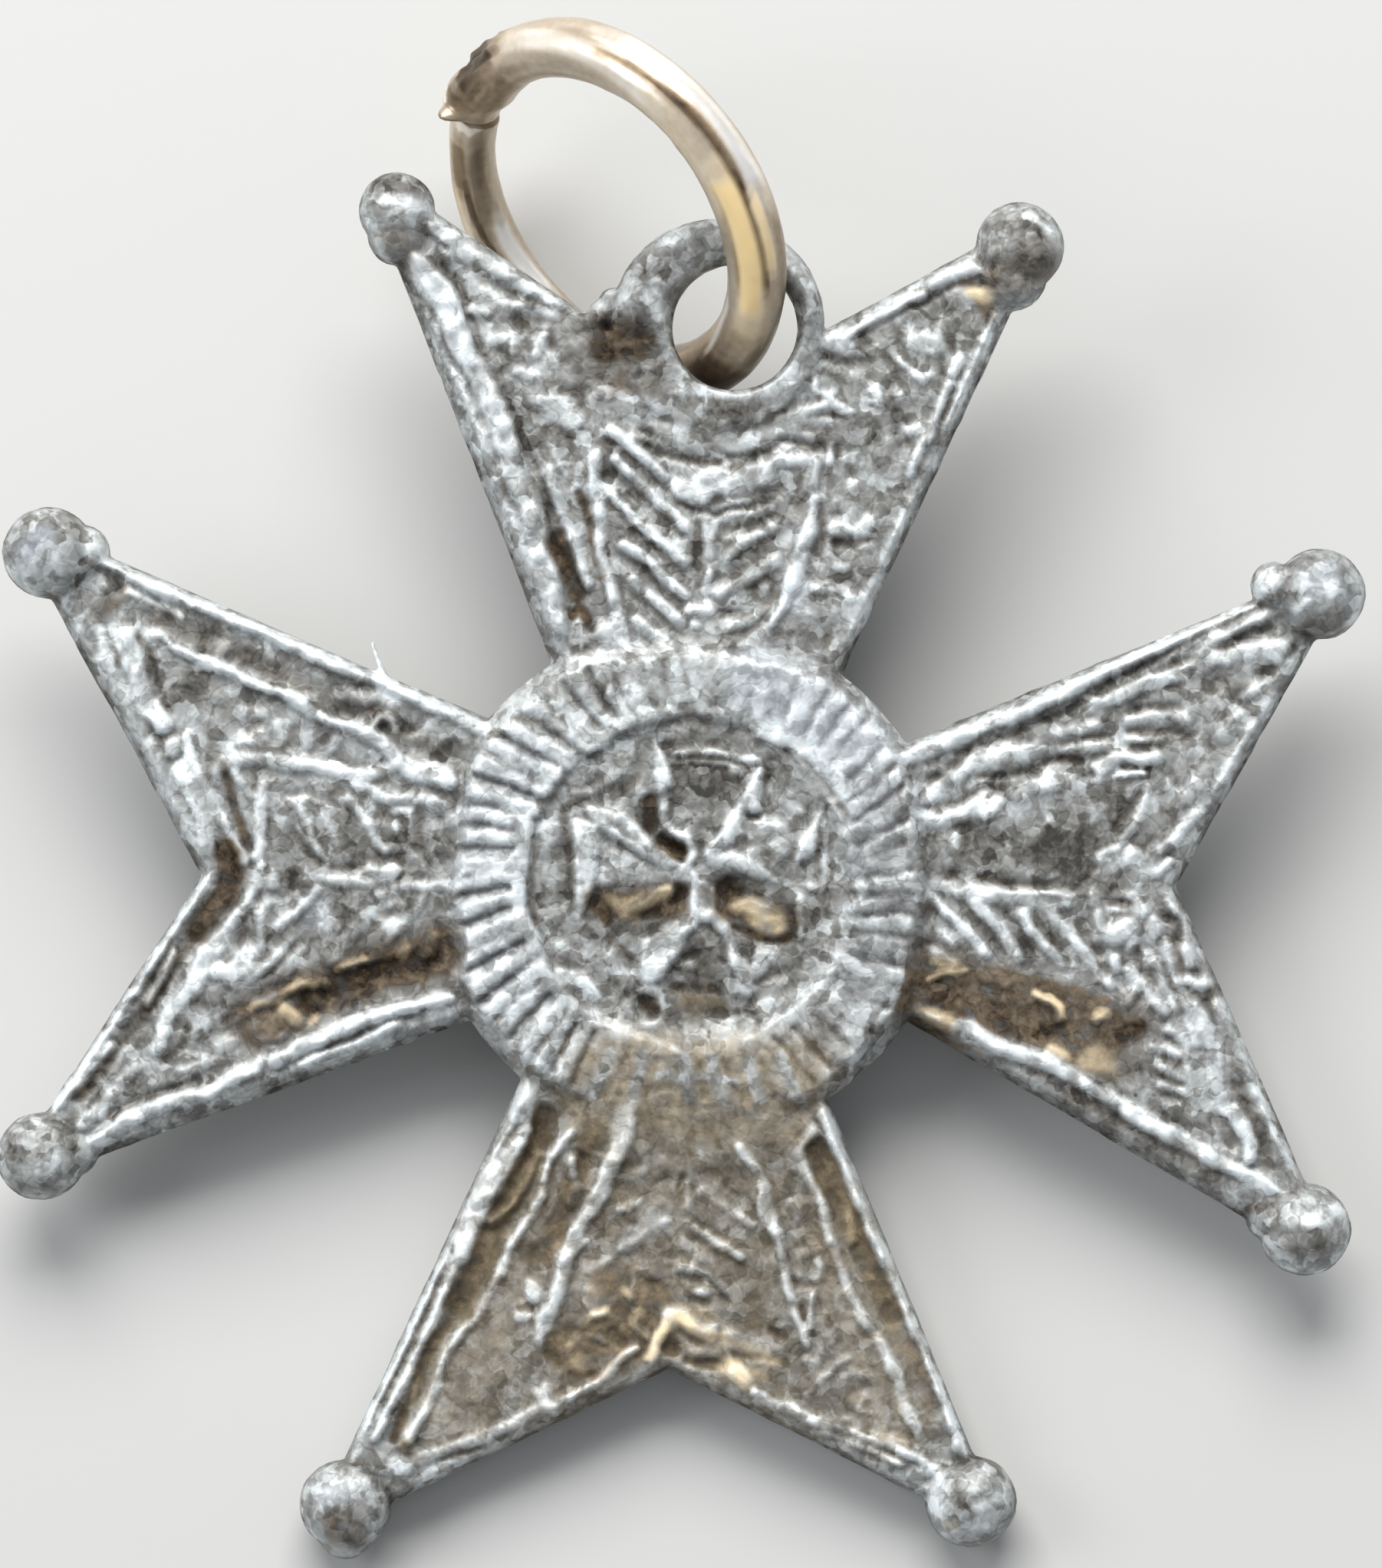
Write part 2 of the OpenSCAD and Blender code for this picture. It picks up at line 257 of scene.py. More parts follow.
class Patch:
    """A part of the relief, with its coordinates, heights, shine and stains."""

    def __init__(self, base, xs, ys, warp_x, warp_y, smear_x, smear_y, uneven):
        self.base = base
        self.wear = 1.0
        self.xs, self.ys = xs, ys
        self.wx, self.wy = xs + warp_x, ys + warp_y
        self.sx, self.sy = xs + smear_x, ys + smear_y
        self.uneven = uneven
        self.height = np.full(xs.shape, base, np.float32)
        blank = np.zeros((5, *xs.shape), np.float32)
        self.shine, self.dirt, self.gold, self.cool, self.shade = blank

    def raise_to(self, at, shape, crest):
        self.height[at] = np.where(shape > 0, np.maximum(self.height[at], crest), self.height[at])

    def profile(self, points, width):
        """A line's window, its firm shape, how far along it each cell is, and its soft shape."""
        rows, cols = window(self.xs, self.ys, points, width)
        near, share = distance_to(points, self.wx[rows, cols], self.wy[rows, cols])
        near = near / (width / 2)
        return (rows, cols), smooth_step(1.25, 0.7, near), share, smooth_step(1.6, 0.3, near)

    def ridge(self, width, rise, shine, *points, base=None, fade=(1.0, 1.0)):
        """Raises a rounded ridge that stands rise above its base. fade scales its two ends."""
        at, shape, share, _ = self.profile(points, width)
        strength = self.wear * (fade[0] + (fade[1] - fade[0]) * share)
        base = self.base if base is None else base
        crest = base + RISE_LEFT * rise * strength * self.uneven[at] * shape
        self.raise_to(at, shape, crest)
        self.shine[at] = np.maximum(self.shine[at], shine * shape * self.uneven[at] * strength)

    def plate(self, rise, shine, *corners):
        """Raises a flat piece with straight edges. Its corners run counter-clockwise."""
        at = window(self.xs, self.ys, corners, 0.1)
        inside = np.full(self.wx[at].shape, FAR_AWAY, np.float32)
        for (ax, ay), (bx, by) in zip(corners, corners[1:] + corners[:1]):
            across = (self.wy[at] - ay) * (bx - ax) - (self.wx[at] - ax) * (by - ay)
            inside = np.minimum(inside, across / math.dist((ax, ay), (bx, by)))
        shape = smooth_step(-0.05, 0.03, inside)
        even = 0.6 + 0.4 * self.uneven[at]
        crest = self.base + RISE_LEFT * rise * even * shape
        self.raise_to(at, shape, crest)
        self.shine[at] = np.maximum(self.shine[at], shine * even * shape)

    def groove(self, width, depth, dirt, *points):
        """Sinks a rounded groove and lays dirt in it."""
        at, shape, _, soft = self.profile(points, width)
        self.height[at] -= DEPTH_LEFT * self.wear * depth * shape
        self.shade[at] -= GROOVE_SHADE * self.wear * depth * shape
        self.dirt[at] = np.maximum(self.dirt[at], dirt * soft)

    def stain_and_painted_light(self, width, *points, dirt=0.0, gold=0.0, cool=0.0, shade=0.0):
        """Colours a soft, ragged band without changing its height, with dirt, tan, a cool tint, and painted
        light and shade. shade darkens below zero.
        """
        at = window(self.xs, self.ys, points, width)
        near, _ = distance_to(points, self.sx[at], self.sy[at])
        soft = smooth_step(1.2, 0.3, near / (width / 2))
        self.dirt[at] = np.maximum(self.dirt[at], dirt * soft)
        self.gold[at] = np.maximum(self.gold[at], gold * soft)
        self.cool[at] = np.maximum(self.cool[at], cool * soft)
        self.shade[at] += shade * soft

    def lump(self, width, rise, shine, spread, *points, **colours):
        """Raises a ridge and stains it. Spread is the stain's width."""
        self.ridge(width, rise, shine, *points)
        self.stain_and_painted_light(spread, *points, **colours)

    def tell(self, part):
        """Prints how much of the patch is raised so far, and how much is sunk."""
        raised, sunk = (self.height > self.base).mean(), (self.height < self.base).mean()
        print(f"{part}: {raised:.0%} of its patch is raised, {sunk:.0%} is sunk")

    def rub(self, width, share, *points):
        """Rubs a share of the brown and tan off a band, as wear does on a crest."""
        at, shape, _, _ = self.profile(points, width)
        for colour in (self.dirt, self.gold):
            colour[at] *= 1 - share * shape


print("strokes a patch takes: ridge, plate, groove, stain, lump and rub")

# %% [markdown]
# ## Levels and outline
# The levels are those of the casting: the back, the sunk fields, the rims and the raised
# centre. Each arm is drawn in its own upright frame and is turned into place afterwards. Its
# outline is the CAD's: two waists, two tips and a notch, with a row for every arm because the
# casting is uneven.

# %% Levels and the outline's corners
BACK = -0.45
FIELD = 0.15
RIM = 0.33
EDGE_LOW = -0.14
MEDAL_TOP = 0.38
MEDAL_FIELD = 0.25
MEDAL_R = 3.36
BOSS_EDGE_R = (2.96, 3.06, 3.14, 3.24)
BOSS_EDGE_H = (0.38, 0.26, 0.16, 0.02)
NECK = 0.54
NOTCH_REACH = 6.35
BALL_R = 0.59

# Columns: left waist, left tip, left ball's size, notch's shift, right waist, right tip,
# right ball's size
OUTLINES = [
    ((-1.88, 2.78), (-4.11, 8.63), 0.84, 0.0, (1.93, 2.85), (4.03, 8.44), 0.98),
    ((-1.93, 2.86), (-3.87, 8.32), 0.98, -0.14, (2.01, 2.64), (4.0, 8.5), 1.02),
    ((-1.96, 2.88), (-3.96, 7.94), 1.02, 0.04, (2.12, 2.69), (4.19, 8.27), 1.02),
    ((-1.9, 2.75), (-4.04, 8.09), 1.02, -0.17, (1.76, 3.0), (4.25, 8.19), 1.02),
]
# Widths of the sloping flanks. Columns: left side, right side, left notch, right notch
FLANKS = [
    (0.36, 0.26, 0.1, 0.1),
    (0.36, 0.12, 0.12, 0.3),
    (0.13, 0.12, 0.26, 0.24),
    (0.14, 0.32, 0.24, 0.24),
]
for arm, row in enumerate(OUTLINES):
    print("arm", arm, "tips", row[1], row[5])

# %% Distances from an arm's edges
def to_face(point, arm):
    """Turns a point from an arm's upright frame into the cross's frame."""
    x, y = point
    for _ in range(arm):
        x, y = -y, x
    return x, y


def inside_line(start, end, keep_left):
    """Distance of each arm cell from a straight edge, counted positive on the kept side."""
    dx, dy = end[0] - start[0], end[1] - start[1]
    length = math.hypot(dx, dy)
    left = ((ARM_Y - start[1]) * dx - (ARM_X - start[0]) * dy) / length
    return left if keep_left else -left


def edge_distances(row):
    """Distances of the arm's cells inside its two sides and its two notch edges."""
    waist_l, tip_l, _, shift, waist_r, tip_r, _ = row
    notch = (shift, NOTCH_REACH)
    found = []
    for waist, tip, left_side in ((waist_l, tip_l, True), (waist_r, tip_r, False)):
        mid = ((notch[0] + waist[0]) / 2, (notch[1] + waist[1]) / 2)
        ax, ay = tip[0] - mid[0], tip[1] - mid[1]
        half = NECK / 2 / math.hypot(ax, ay)
        out = -1 if left_side else 1
        outer = (tip[0] + out * ay * half, tip[1] - out * ax * half)
        inner = (tip[0] - out * ay * half, tip[1] + out * ax * half)
        found.append((inside_line(waist, outer, not left_side), inside_line(notch, inner, left_side)))
    return found[0][0], found[1][0], found[0][1], found[1][1]


def limit_by_flank(height, distance, width):
    """Lets the relief fall off along an edge, in a slope of the given width."""
    share = np.clip(distance / width, 0, 3)
    slope = EDGE_LOW + (FIELD + RIM - EDGE_LOW) * share**0.85
    return np.minimum(height, slope)


left_side, right_side = edge_distances(OUTLINES[0])[:2]
print("cells between the top arm's two sides:", int((np.minimum(left_side, right_side) > 0).sum()))

# %% [markdown]
# ## The four arms
# Each arm carries rims along its edges, one or two inner ridges, and a panel with a middle
# spine and slanting strokes. The rims on the sides that face up the picture stand sharp at
# the very edge. The others lie further in, behind a broad flank. Channels with brown dirt run
# between them. They were all cut by hand, so each arm has its own strokes. In its cells r is
# a ridge (width, rise, shine, points), g a groove (width, depth, dirt, points) and s a stain
# that also paints light and shade (width, points, colours), all in millimetres.

# %% Starting an arm
arms = []


def start_arm():
    """Adds the next arm's patch, and gives its ridges, grooves and stains, which also paint light and shade,
    short names.
    """
    turned = [np.rot90(field, len(arms))[ARM_ROWS, ARM_COLS] for field in NOISES]
    arms.append(Patch(FIELD, ARM_X, ARM_Y, *turned))
    return arms[-1], arms[-1].ridge, arms[-1].groove, arms[-1].stain_and_painted_light


print("arms to draw:", len(OUTLINES))

# %% The top arm: its left side
patch, r, g, s = start_arm()
# left rim: a broad mottled band with a sharp channel on its inner side
r(0.34, 0.3, 0.55, (-3.8, 7.9), (-3.45, 7.5), (-3.25, 6.95), (-3, 6.6), (-2.8, 6.2), (-2.6, 5.6))
r(0.3, 0.28, 0.45, (-2.6, 5.6), (-2.4, 5.1), (-2.15, 4.5), (-1.98, 3.9), (-1.85, 3.2))
r(0.16, 0.3, 0.9, (-3.62, 7.72), (-3.38, 7.3), (-3.2, 6.9), (-3.02, 6.66))
r(0.16, 0.26, 0.8, (-2.84, 6.25), (-2.72, 5.8), (-2.5, 5.3))
r(0.26, 0.16, 0.15, (-3.6, 6.95), (-3.2, 6.1), (-2.8, 5.2), (-2.4, 4.3), (-2.05, 3.5))
g(0.08, 0.08, 0.1, (-3.76, 7.5), (-3.5, 7.1), (-3.32, 6.7), (-3.08, 6.42))
g(0.11, 0.12, 0.15, (-3.46, 7.92), (-3.16, 7.38), (-2.96, 6.85), (-2.7, 6.35), (-2.48, 5.9),
  (-2.28, 5.46), (-2.08, 5.18), (-1.98, 4.7))
# channel and inner ridges on the left
r(0.17, 0.18, 0.35, (-2.02, 5.3), (-1.82, 4.75), (-1.62, 4.3), (-1.45, 3.85))
g(0.24, 0.14, 1, (-1.9, 4.4), (-1.76, 4.08), (-1.58, 3.72))
g(0.14, 0.12, 0.9, (-1.66, 3.42), (-1.56, 3.54), (-1.36, 3.28))
g(0.11, 0.12, 0.6, (-1.62, 5.02), (-1.5, 4.62), (-1.38, 4.26), (-1.24, 3.9))
g(0.07, 0.07, 0.3, (-1.76, 5.8), (-1.68, 5.45), (-1.73, 5.12))
g(0.07, 0.05, 0.2, (-1.96, 5.46), (-1.84, 5.28))
r(0.13, 0.14, 0.2, (-1.95, 5.6), (-1.86, 5.4))
r(0.16, 0.24, 1, (-1.41, 5.5), (-1.4, 5.08))
r(0.16, 0.2, 0.65, (-1.4, 5.08), (-1.34, 4.6), (-1.29, 4.18), (-1.16, 3.85), (-1.06, 3.5),
  (-0.98, 3.22))
r(0.26, 0.22, 1, (-1.6, 2.74), (-1.32, 2.86), (-1.02, 2.98))
r(0.26, 0.2, 0.95, (-1.18, 3.2), (-0.98, 3.02))
patch.tell("top arm")

# %% The top arm: left half of the panel
# the panel's left strokes and the dark fields between them
s(1.05, (-0.95, 5), (-0.55, 3.6), shade=-0.35)
r(0.13, 0.19, 0.85, (-1.14, 5.45), (-0.9, 5.24), (-0.56, 4.96), (-0.26, 4.72), (-0.11, 4.6))
r(0.14, 0.19, 0.8, (-1.29, 5.12), (-1.08, 4.87), (-0.78, 4.63), (-0.5, 4.42), (-0.17, 4.2))
r(0.14, 0.19, 0.8, (-0.99, 4.36), (-0.72, 4.18), (-0.44, 3.93), (-0.2, 3.75))
r(0.15, 0.19, 0.85, (-0.87, 3.9), (-0.62, 3.7), (-0.38, 3.5), (-0.23, 3.36))
r(0.15, 0.16, 0.55, (-0.8, 3.36), (-0.6, 3.2), (-0.38, 3.1))
g(0.1, 0.06, 0.1, (-1.22, 5.32), (-0.95, 5.06), (-0.5, 4.72), (-0.22, 4.5))
g(0.1, 0.06, 0.1, (-1.2, 4.86), (-0.92, 4.62), (-0.5, 4.25), (-0.22, 4.02))
g(0.1, 0.06, 0.1, (-1.06, 4.24), (-0.72, 4.02), (-0.38, 3.72), (-0.2, 3.6))
g(0.1, 0.05, 0.1, (-0.84, 3.7), (-0.55, 3.48), (-0.3, 3.28))
# the V above the panel, with the white heart of it and its dark outline
r(0.18, 0.24, 0.95, (-1.22, 5.83), (-1, 5.7))
r(0.15, 0.22, 0.85, (-1, 5.68), (-0.72, 5.46), (-0.5, 5.3))
r(0.28, 0.2, 0.95, (-0.26, 5.14), (0.02, 5.04))
r(0.36, 0.16, 0.6, (0.05, 5.2), (0.4, 5.2), (0.75, 5.34))
r(0.16, 0.16, 0.65, (0.7, 5.36), (1, 5.54), (1.26, 5.52))
r(0.07, 0.15, 0.8, (0.14, 4.85), (0.4, 4.94), (0.6, 5))
r(0.12, 0.2, 0.95, (1.68, 5.72), (1.67, 5.52))
r(0.2, 0.16, 0.7, (1.44, 5.48), (1.42, 5.22))
g(0.07, 0.09, 0.2, (-0.62, 5.26), (-0.23, 4.96), (-0.02, 4.81), (0.22, 4.78), (0.47, 4.89))
g(0.08, 0.12, 0.3, (-0.9, 5.82), (-0.86, 5.69), (-0.5, 5.54), (-0.08, 5.51), (0.24, 5.49))
g(0.08, 0.11, 0.3, (0.3, 5.57), (0.62, 5.6), (0.84, 5.66), (1.01, 5.79), (1.19, 5.75), (1.44, 5.69),
  (1.74, 5.72), (1.78, 5.42))
g(0.12, 0.1, 0.3, (-0.8, 5.87), (-0.7, 5.83))
g(0.13, 0.06, 0.3, (0.38, 5.4), (0.5, 5.38))
r(0.12, 0.14, 0.8, (-0.92, 5.8), (-0.84, 5.74))
patch.tell("top arm")

# %% The top arm: spine and right half of the panel
# spine and the panel's soft right strokes
s(0.9, (0.85, 4.9), (0.55, 3.5), shade=-0.25)
r(0.11, 0.16, 0.75, (0.16, 4.68), (0.12, 4.5), (0.12, 4.28))
r(0.1, 0.16, 0.8, (0.13, 4.05), (0.08, 3.78))
g(0.1, 0.1, 0.3, (-0.03, 4.66), (-0.02, 4.4), (0, 4.1))
r(0.15, 0.18, 1, (-0.14, 3.54), (0.15, 3.52))
r(0.13, 0.16, 1, (-0.02, 3.34))
r(0.09, 0.12, 0.5, (0.16, 4.7), (0.38, 4.78), (0.68, 4.81), (0.9, 4.92))
r(0.15, 0.12, 0.35, (0.32, 4.27), (0.59, 4.48), (0.92, 4.66))
r(0.16, 0.12, 0.35, (0.3, 3.76), (0.62, 4.02), (1, 4.22))
r(0.15, 0.12, 0.4, (0.19, 3.18), (0.44, 3.36), (0.74, 3.5))
g(0.11, 0.07, 0.2, (0.22, 4.55), (0.34, 4.62), (0.76, 4.66))
g(0.12, 0.06, 0.2, (0.26, 3.96), (0.52, 4.12))
g(0.1, 0.05, 0.2, (0.3, 3.5), (0.62, 3.55))
g(0.13, 0.07, 0.3, (0.6, 3.28), (0.9, 3.48))
g(0.09, 0.08, 0.3, *arc(0.14, 0, 330, (0.84, 3.86)))
g(0.16, 0.07, 0.3, (0.98, 3.78), (1.06, 3.92))
g(0.18, 0.08, 0.3, (1.25, 5), (1.34, 4.8))
r(0.12, 0.22, 0.9, (1.49, 5.05), (1.44, 4.72))
r(0.22, 0.24, 1, (1.44, 4.72), (1.34, 4.4), (1.24, 4.02), (1.18, 3.88))
r(0.11, 0.2, 0.9, (1.16, 3.8), (1.08, 3.6), (0.96, 3.4))
s(0.4, (1.32, 3.95), (1.3, 3.6), cool=0.6, shade=0.4)
patch.tell("top arm")

# %% The top arm: fields beside and above the panel
# mottled right field
patch.wear = 0.75
r(0.17, 0.2, 0.95, (1.74, 4.66), (1.92, 4.64))
r(0.18, 0.2, 1, (2.08, 4.64), (2.16, 4.78))
g(0.12, 0.12, 0.3, (1.8, 4.5), (2.02, 4.5), (2.16, 4.56))
r(0.15, 0.16, 0.8, (1.36, 3.54), (1.5, 3.52))
r(0.13, 0.16, 0.9, (1.96, 3.78))
r(0.12, 0.14, 0.6, (1.5, 3.88), (1.75, 3.9))
g(0.14, 0.09, 0.3, (1.76, 3.38), (1.72, 3.18))
g(0.12, 0.08, 0.2, (1.84, 5.52), (1.98, 5.34))
g(0.1, 0.08, 0.2, (1.56, 4.95), (1.62, 4.6), (1.55, 4.3))
g(0.12, 0.07, 0.2, (1.95, 4), (2.1, 3.92))
r(0.16, 0.12, 0.4, (1.78, 4.98), (1.95, 4.9), (1.9, 4.8))
r(0.16, 0.12, 0.4, (1.7, 4.3), (1.9, 4.2))
r(0.13, 0.12, 0.5, (1.85, 5.6), (1.8, 5.4))
# between the eyelet and the V
patch.wear = 0.85
r(0.3, 0.1, 0.45, (-1.45, 6.35), (-0.8, 6.1), (-0.2, 5.78), (0.5, 5.8), (1.3, 6.12))
g(0.11, 0.09, 0.2, (-0.52, 6.03), (-0.22, 6.02))
g(0.13, 0.1, 0.2, (-0.08, 5.95), (0.16, 5.96))
g(0.1, 0.08, 0.2, (0.12, 6.08), (0.5, 6.15), (0.72, 6.25))
g(0.12, 0.1, 0.2, (1.28, 5.98), (1.58, 5.93))
r(0.24, 0.18, 0.95, (1.5, 6.52), (1.6, 6.44))
r(0.16, 0.14, 0.75, (-1.4, 6.34), (-1.2, 6.24))
r(0.13, 0.16, 0.85, (1.42, 6.22), (1.62, 6.28), (1.84, 6.16))
g(0.08, 0.08, 0.2, (1.35, 6.1), (1.56, 6.2), (1.8, 6.08))
g(0.12, 0.07, 0.2, (-1.85, 6.32), (-1.62, 6.34), (-1.6, 6.2))
g(0.14, 0.08, 0.2, (-2.05, 5.8), (-1.9, 5.84))
r(0.11, 0.12, 0.5, (-1.88, 6.24), (-1.72, 6.22))
patch.tell("top arm")

# %% The top arm: its shoulders
# left shoulder
patch.wear = 0.9
r(0.17, 0.2, 0.5, (-3.6, 8.4), (-3.25, 8.12), (-2.75, 7.86), (-2.25, 7.6), (-1.95, 7.45))
r(0.12, 0.16, 0.45, (-3.4, 8.05), (-3.15, 7.95))
g(0.14, 0.1, 0.3, (-3, 7.76), (-2.9, 7.7))
g(0.1, 0.08, 0.2, (-2.8, 7.66), (-2.4, 7.5), (-2.05, 7.36))
r(0.12, 0.14, 0.4, (-2.75, 7.42), (-2.3, 7.44), (-2, 7.3))
g(0.22, 0.09, 0.3, (-2.45, 7.22), (-2.28, 7.18))
r(0.15, 0.19, 0.95, (-2.2, 6.84), (-2.12, 7.04))
g(0.11, 0.1, 0.3, (-2.04, 7.08), (-1.98, 6.9))
r(0.2, 0.14, 0.55, (-3.05, 7.35), (-2.9, 7.35))
r(0.14, 0.12, 0.4, (-2.8, 6.98), (-2.55, 7.04), (-2.5, 6.85))
g(0.1, 0.08, 0.2, (-2.72, 6.85), (-2.6, 6.7), (-2.72, 6.55))
r(0.14, 0.12, 0.4, (-2.45, 6.6), (-2.2, 6.55), (-2.15, 6.4))
r(0.3, 0.12, 0.35, (-2.2, 6.2), (-1.7, 6))
# right shoulder
r(0.12, 0.22, 0.65, (1.75, 7.18), (2.3, 7.45), (2.8, 7.75))
r(0.18, 0.25, 1, (2.95, 7.86), (3.15, 7.98), (3.4, 8.1))
g(0.08, 0.1, 0.3, (2, 7.22), (2.6, 7.56), (3.05, 7.8), (3.32, 7.92))
r(0.1, 0.18, 0.95, (2.5, 6.86), (2.64, 6.74), (2.8, 6.6))
r(0.17, 0.17, 0.85, (3.22, 6.76), (3.28, 6.94))
r(0.18, 0.15, 0.6, (3.58, 7), (3.62, 7.14))
r(0.12, 0.16, 0.85, (2.9, 6.68))
r(0.16, 0.16, 0.9, (2.68, 5.98), (2.82, 6.04))
r(0.13, 0.15, 0.8, (2.5, 6.4))
r(0.14, 0.14, 0.6, (2.2, 6.44), (2.24, 6.3))
r(0.28, 0.12, 0.5, (2.7, 7.18), (3, 7.08))
r(0.16, 0.13, 0.5, (3.05, 7.4), (3, 7.22))
g(0.24, 0.07, 0.2, (1.6, 6.92), (2.05, 6.82))
g(0.18, 0.08, 0.2, (2.12, 7.16), (2.4, 7.3))
g(0.1, 0.08, 0.2, (2.34, 6.95), (2.46, 6.66), (2.36, 6.46))
g(0.1, 0.08, 0.2, (3.05, 6.96), (3.06, 6.76))
g(0.1, 0.08, 0.2, (2.46, 6.2), (2.5, 5.96))
g(0.12, 0.08, 0.2, (2.2, 6), (2.3, 5.8))
r(0.12, 0.2, 0.5, (3.72, 7.5), (3.5, 6.85), (3.3, 6.3), (3.1, 5.75), (2.75, 5), (2.35, 4.05),
  (2.02, 3.25))
r(0.13, 0.24, 0.95, (3.18, 6.56), (3, 6.12), (2.82, 5.74), (2.72, 5.44))
g(0.09, 0.1, 0.3, (3.28, 6.5), (3.14, 6.16))
r(0.3, 0.14, 0.8, (1.58, 7.14), (1.78, 7.06))
patch.tell("top arm")

# %% The top arm: film, marks, and painted highlights and shade
# brown film, gold spot, painted highlights and shade on the balls, painted shade on the eyelet
patch.wear = 1
s(0.64, (-1.36, 7.02), (-0.92, 7), dirt=0.95, shade=-0.55)
s(2.4, (2.4, 5.2), (2.9, 7), shade=-0.14)
s(0.7, (-1.6, 6.62), (-0.7, 6.55), dirt=0.25, shade=-0.3)
r(0.16, 0.1, 0.55, (-0.74, 7.5), (-0.62, 7.2), (-0.58, 6.85))
r(0.14, 0.08, 0.75, (-0.3, 6.4), (0.2, 6.33), (0.8, 6.44), (1.15, 6.66))
s(0.5, (-1.1, 6.55), (-0.7, 6.45), dirt=0.45)
s(0.3, (-1.15, 7.22), (-0.95, 7.18), dirt=0.6, shade=-0.4)
r(0.24, 0.12, 0.3, (-0.98, 7.04), (-0.9, 7.02))
s(0.5, (-1.9, 7.2), (-1.5, 7), dirt=0.3)
s(0.24, (3.4, 7.72), (3.62, 7.74), gold=0.6, shade=0.2)
r(0.2, 0.14, 0.6, (3.4, 7.72), (3.6, 7.74))
s(0.34, (3.36, 7.9), (3.6, 7.55), dirt=0.75)
s(0.8, (3.75, 7.95), (4.25, 8.15), dirt=0.5, shade=-0.35)
s(0.45, (-4.15, 8.22), (-3.95, 8), dirt=0.45, shade=-0.3)
# painted shade and painted highlights on the two balls
s(0.3, (-4.25, 8.92), (-3.9, 8.86), shade=-0.7)
s(0.16, (-4.18, 8.76), (-3.84, 8.66), shade=1.2)
s(0.16, (-4.4, 8.45), (-4.28, 8.32), shade=0.8)
s(0.16, (4.15, 8.76), (4.4, 8.6), shade=1.4)
s(0.22, (3.85, 8.6), (4.15, 8.66), (4.3, 8.52), shade=-0.9)
# painted shade over the eyelet's left part
s(0.9, (-0.3, 6.9), (-0.9, 7.9), shade=-0.3)
patch.tell("top arm")

# %% The left arm: its right side
patch, r, g, s = start_arm()
# right rim, bright to its edge, and the long ridge inside it
r(0.24, 0.32, 1, (1.95, 2.76), (2.14, 3.22), (2.33, 3.66), (2.46, 4.02), (2.64, 4.5), (2.86, 5.05))
r(0.24, 0.3, 0.95, (2.86, 5.05), (3.12, 5.66), (3.32, 6.22), (3.52, 6.8), (3.76, 7.32), (4.02, 7.88))
r(0.14, 0.25, 0.85, (1.8, 4.33), (1.9, 4.67), (2.05, 5), (2.2, 5.22))
r(0.2, 0.26, 1, (2.16, 5.14), (2.24, 5.3))
r(0.13, 0.25, 0.95, (2.24, 5.3), (2.33, 5.55), (2.45, 5.92), (2.56, 6.12))
r(0.17, 0.26, 1, (2.6, 6.2), (2.68, 6.42))
r(0.11, 0.24, 0.95, (2.68, 6.42), (2.84, 6.78))
g(0.26, 0.06, 0.35, (1.55, 3.2), (1.92, 3.9), (2.15, 4.5), (2.45, 5.2), (2.78, 6), (3.05, 6.65),
  (3.22, 7.1))
r(0.08, 0.14, 0.45, (3.5, 7.45), (3.35, 6.98), (3.2, 6.7))
r(0.08, 0.14, 0.4, (2.96, 7.14), (2.94, 6.92), (2.82, 6.76))
r(0.14, 0.12, 0.3, (2.8, 6.22), (2.86, 6.14))
r(0.2, 0.1, 0.2, (2.32, 4.6), (2.22, 4.34))
r(0.14, 0.1, 0.2, (1.72, 3.66), (1.76, 3.5))
g(0.15, 0.06, 0.3, (1.52, 3.26), (1.66, 3.14))
# the bright band that runs down to the centre, with the little pit beside it
r(0.22, 0.26, 1, (1.78, 4.28), (1.68, 4.06), (1.5, 3.86), (1.32, 3.66))
r(0.26, 0.2, 0.85, (1.32, 3.66), (1.28, 3.4), (1.2, 3.18))
g(0.1, 0.09, 0.1, (1.84, 4.12), (1.85, 4.06))
r(0.09, 0.18, 0.75, (1.88, 4.22), (2.02, 4.12), (1.98, 3.94), (1.82, 3.86))
r(0.15, 0.2, 0.95, (1.37, 5.1), (1.31, 4.7), (1.22, 4.38), (1.23, 4.08), (1.36, 3.88))
r(0.18, 0.16, 0.5, (1.42, 5.9), (1.42, 5.5), (1.37, 5.1))
r(0.12, 0.16, 0.45, (1.12, 4.38), (0.93, 4), (1, 3.65))
r(0.15, 0.18, 0.85, (0.98, 3.52), (0.88, 3.3), (0.64, 3.08))
r(0.14, 0.14, 0.4, (0.95, 3.95), (1.05, 4.2))
patch.tell("left arm")

# %% The left arm: its panel
# right panel
patch.wear = 0.7
s(0.75, (0.55, 5.1), (0.45, 3.3), shade=-0.15)
s(2.2, (0, 5.2), (0, 3.4), shade=-0.26)
r(0.09, 0.16, 0.6, (0.12, 4.7), (0.33, 4.87), (0.6, 5), (0.86, 5.18))
g(0.09, 0.1, 0.3, (0.08, 4.8), (0.3, 5.03), (0.48, 5.18))
r(0.09, 0.1, 0.25, (0.2, 4.52), (0.38, 4.6), (0.6, 4.66), (0.72, 4.78))
r(0.11, 0.16, 0.6, (0.26, 3.96), (0.34, 4.06), (0.58, 4.2), (0.96, 4.46))
r(0.1, 0.13, 0.4, (0.1, 3.48), (0.27, 3.66), (0.6, 3.86))
r(0.08, 0.1, 0.3, (0.45, 3.62), (0.8, 3.6), (0.78, 3.88))
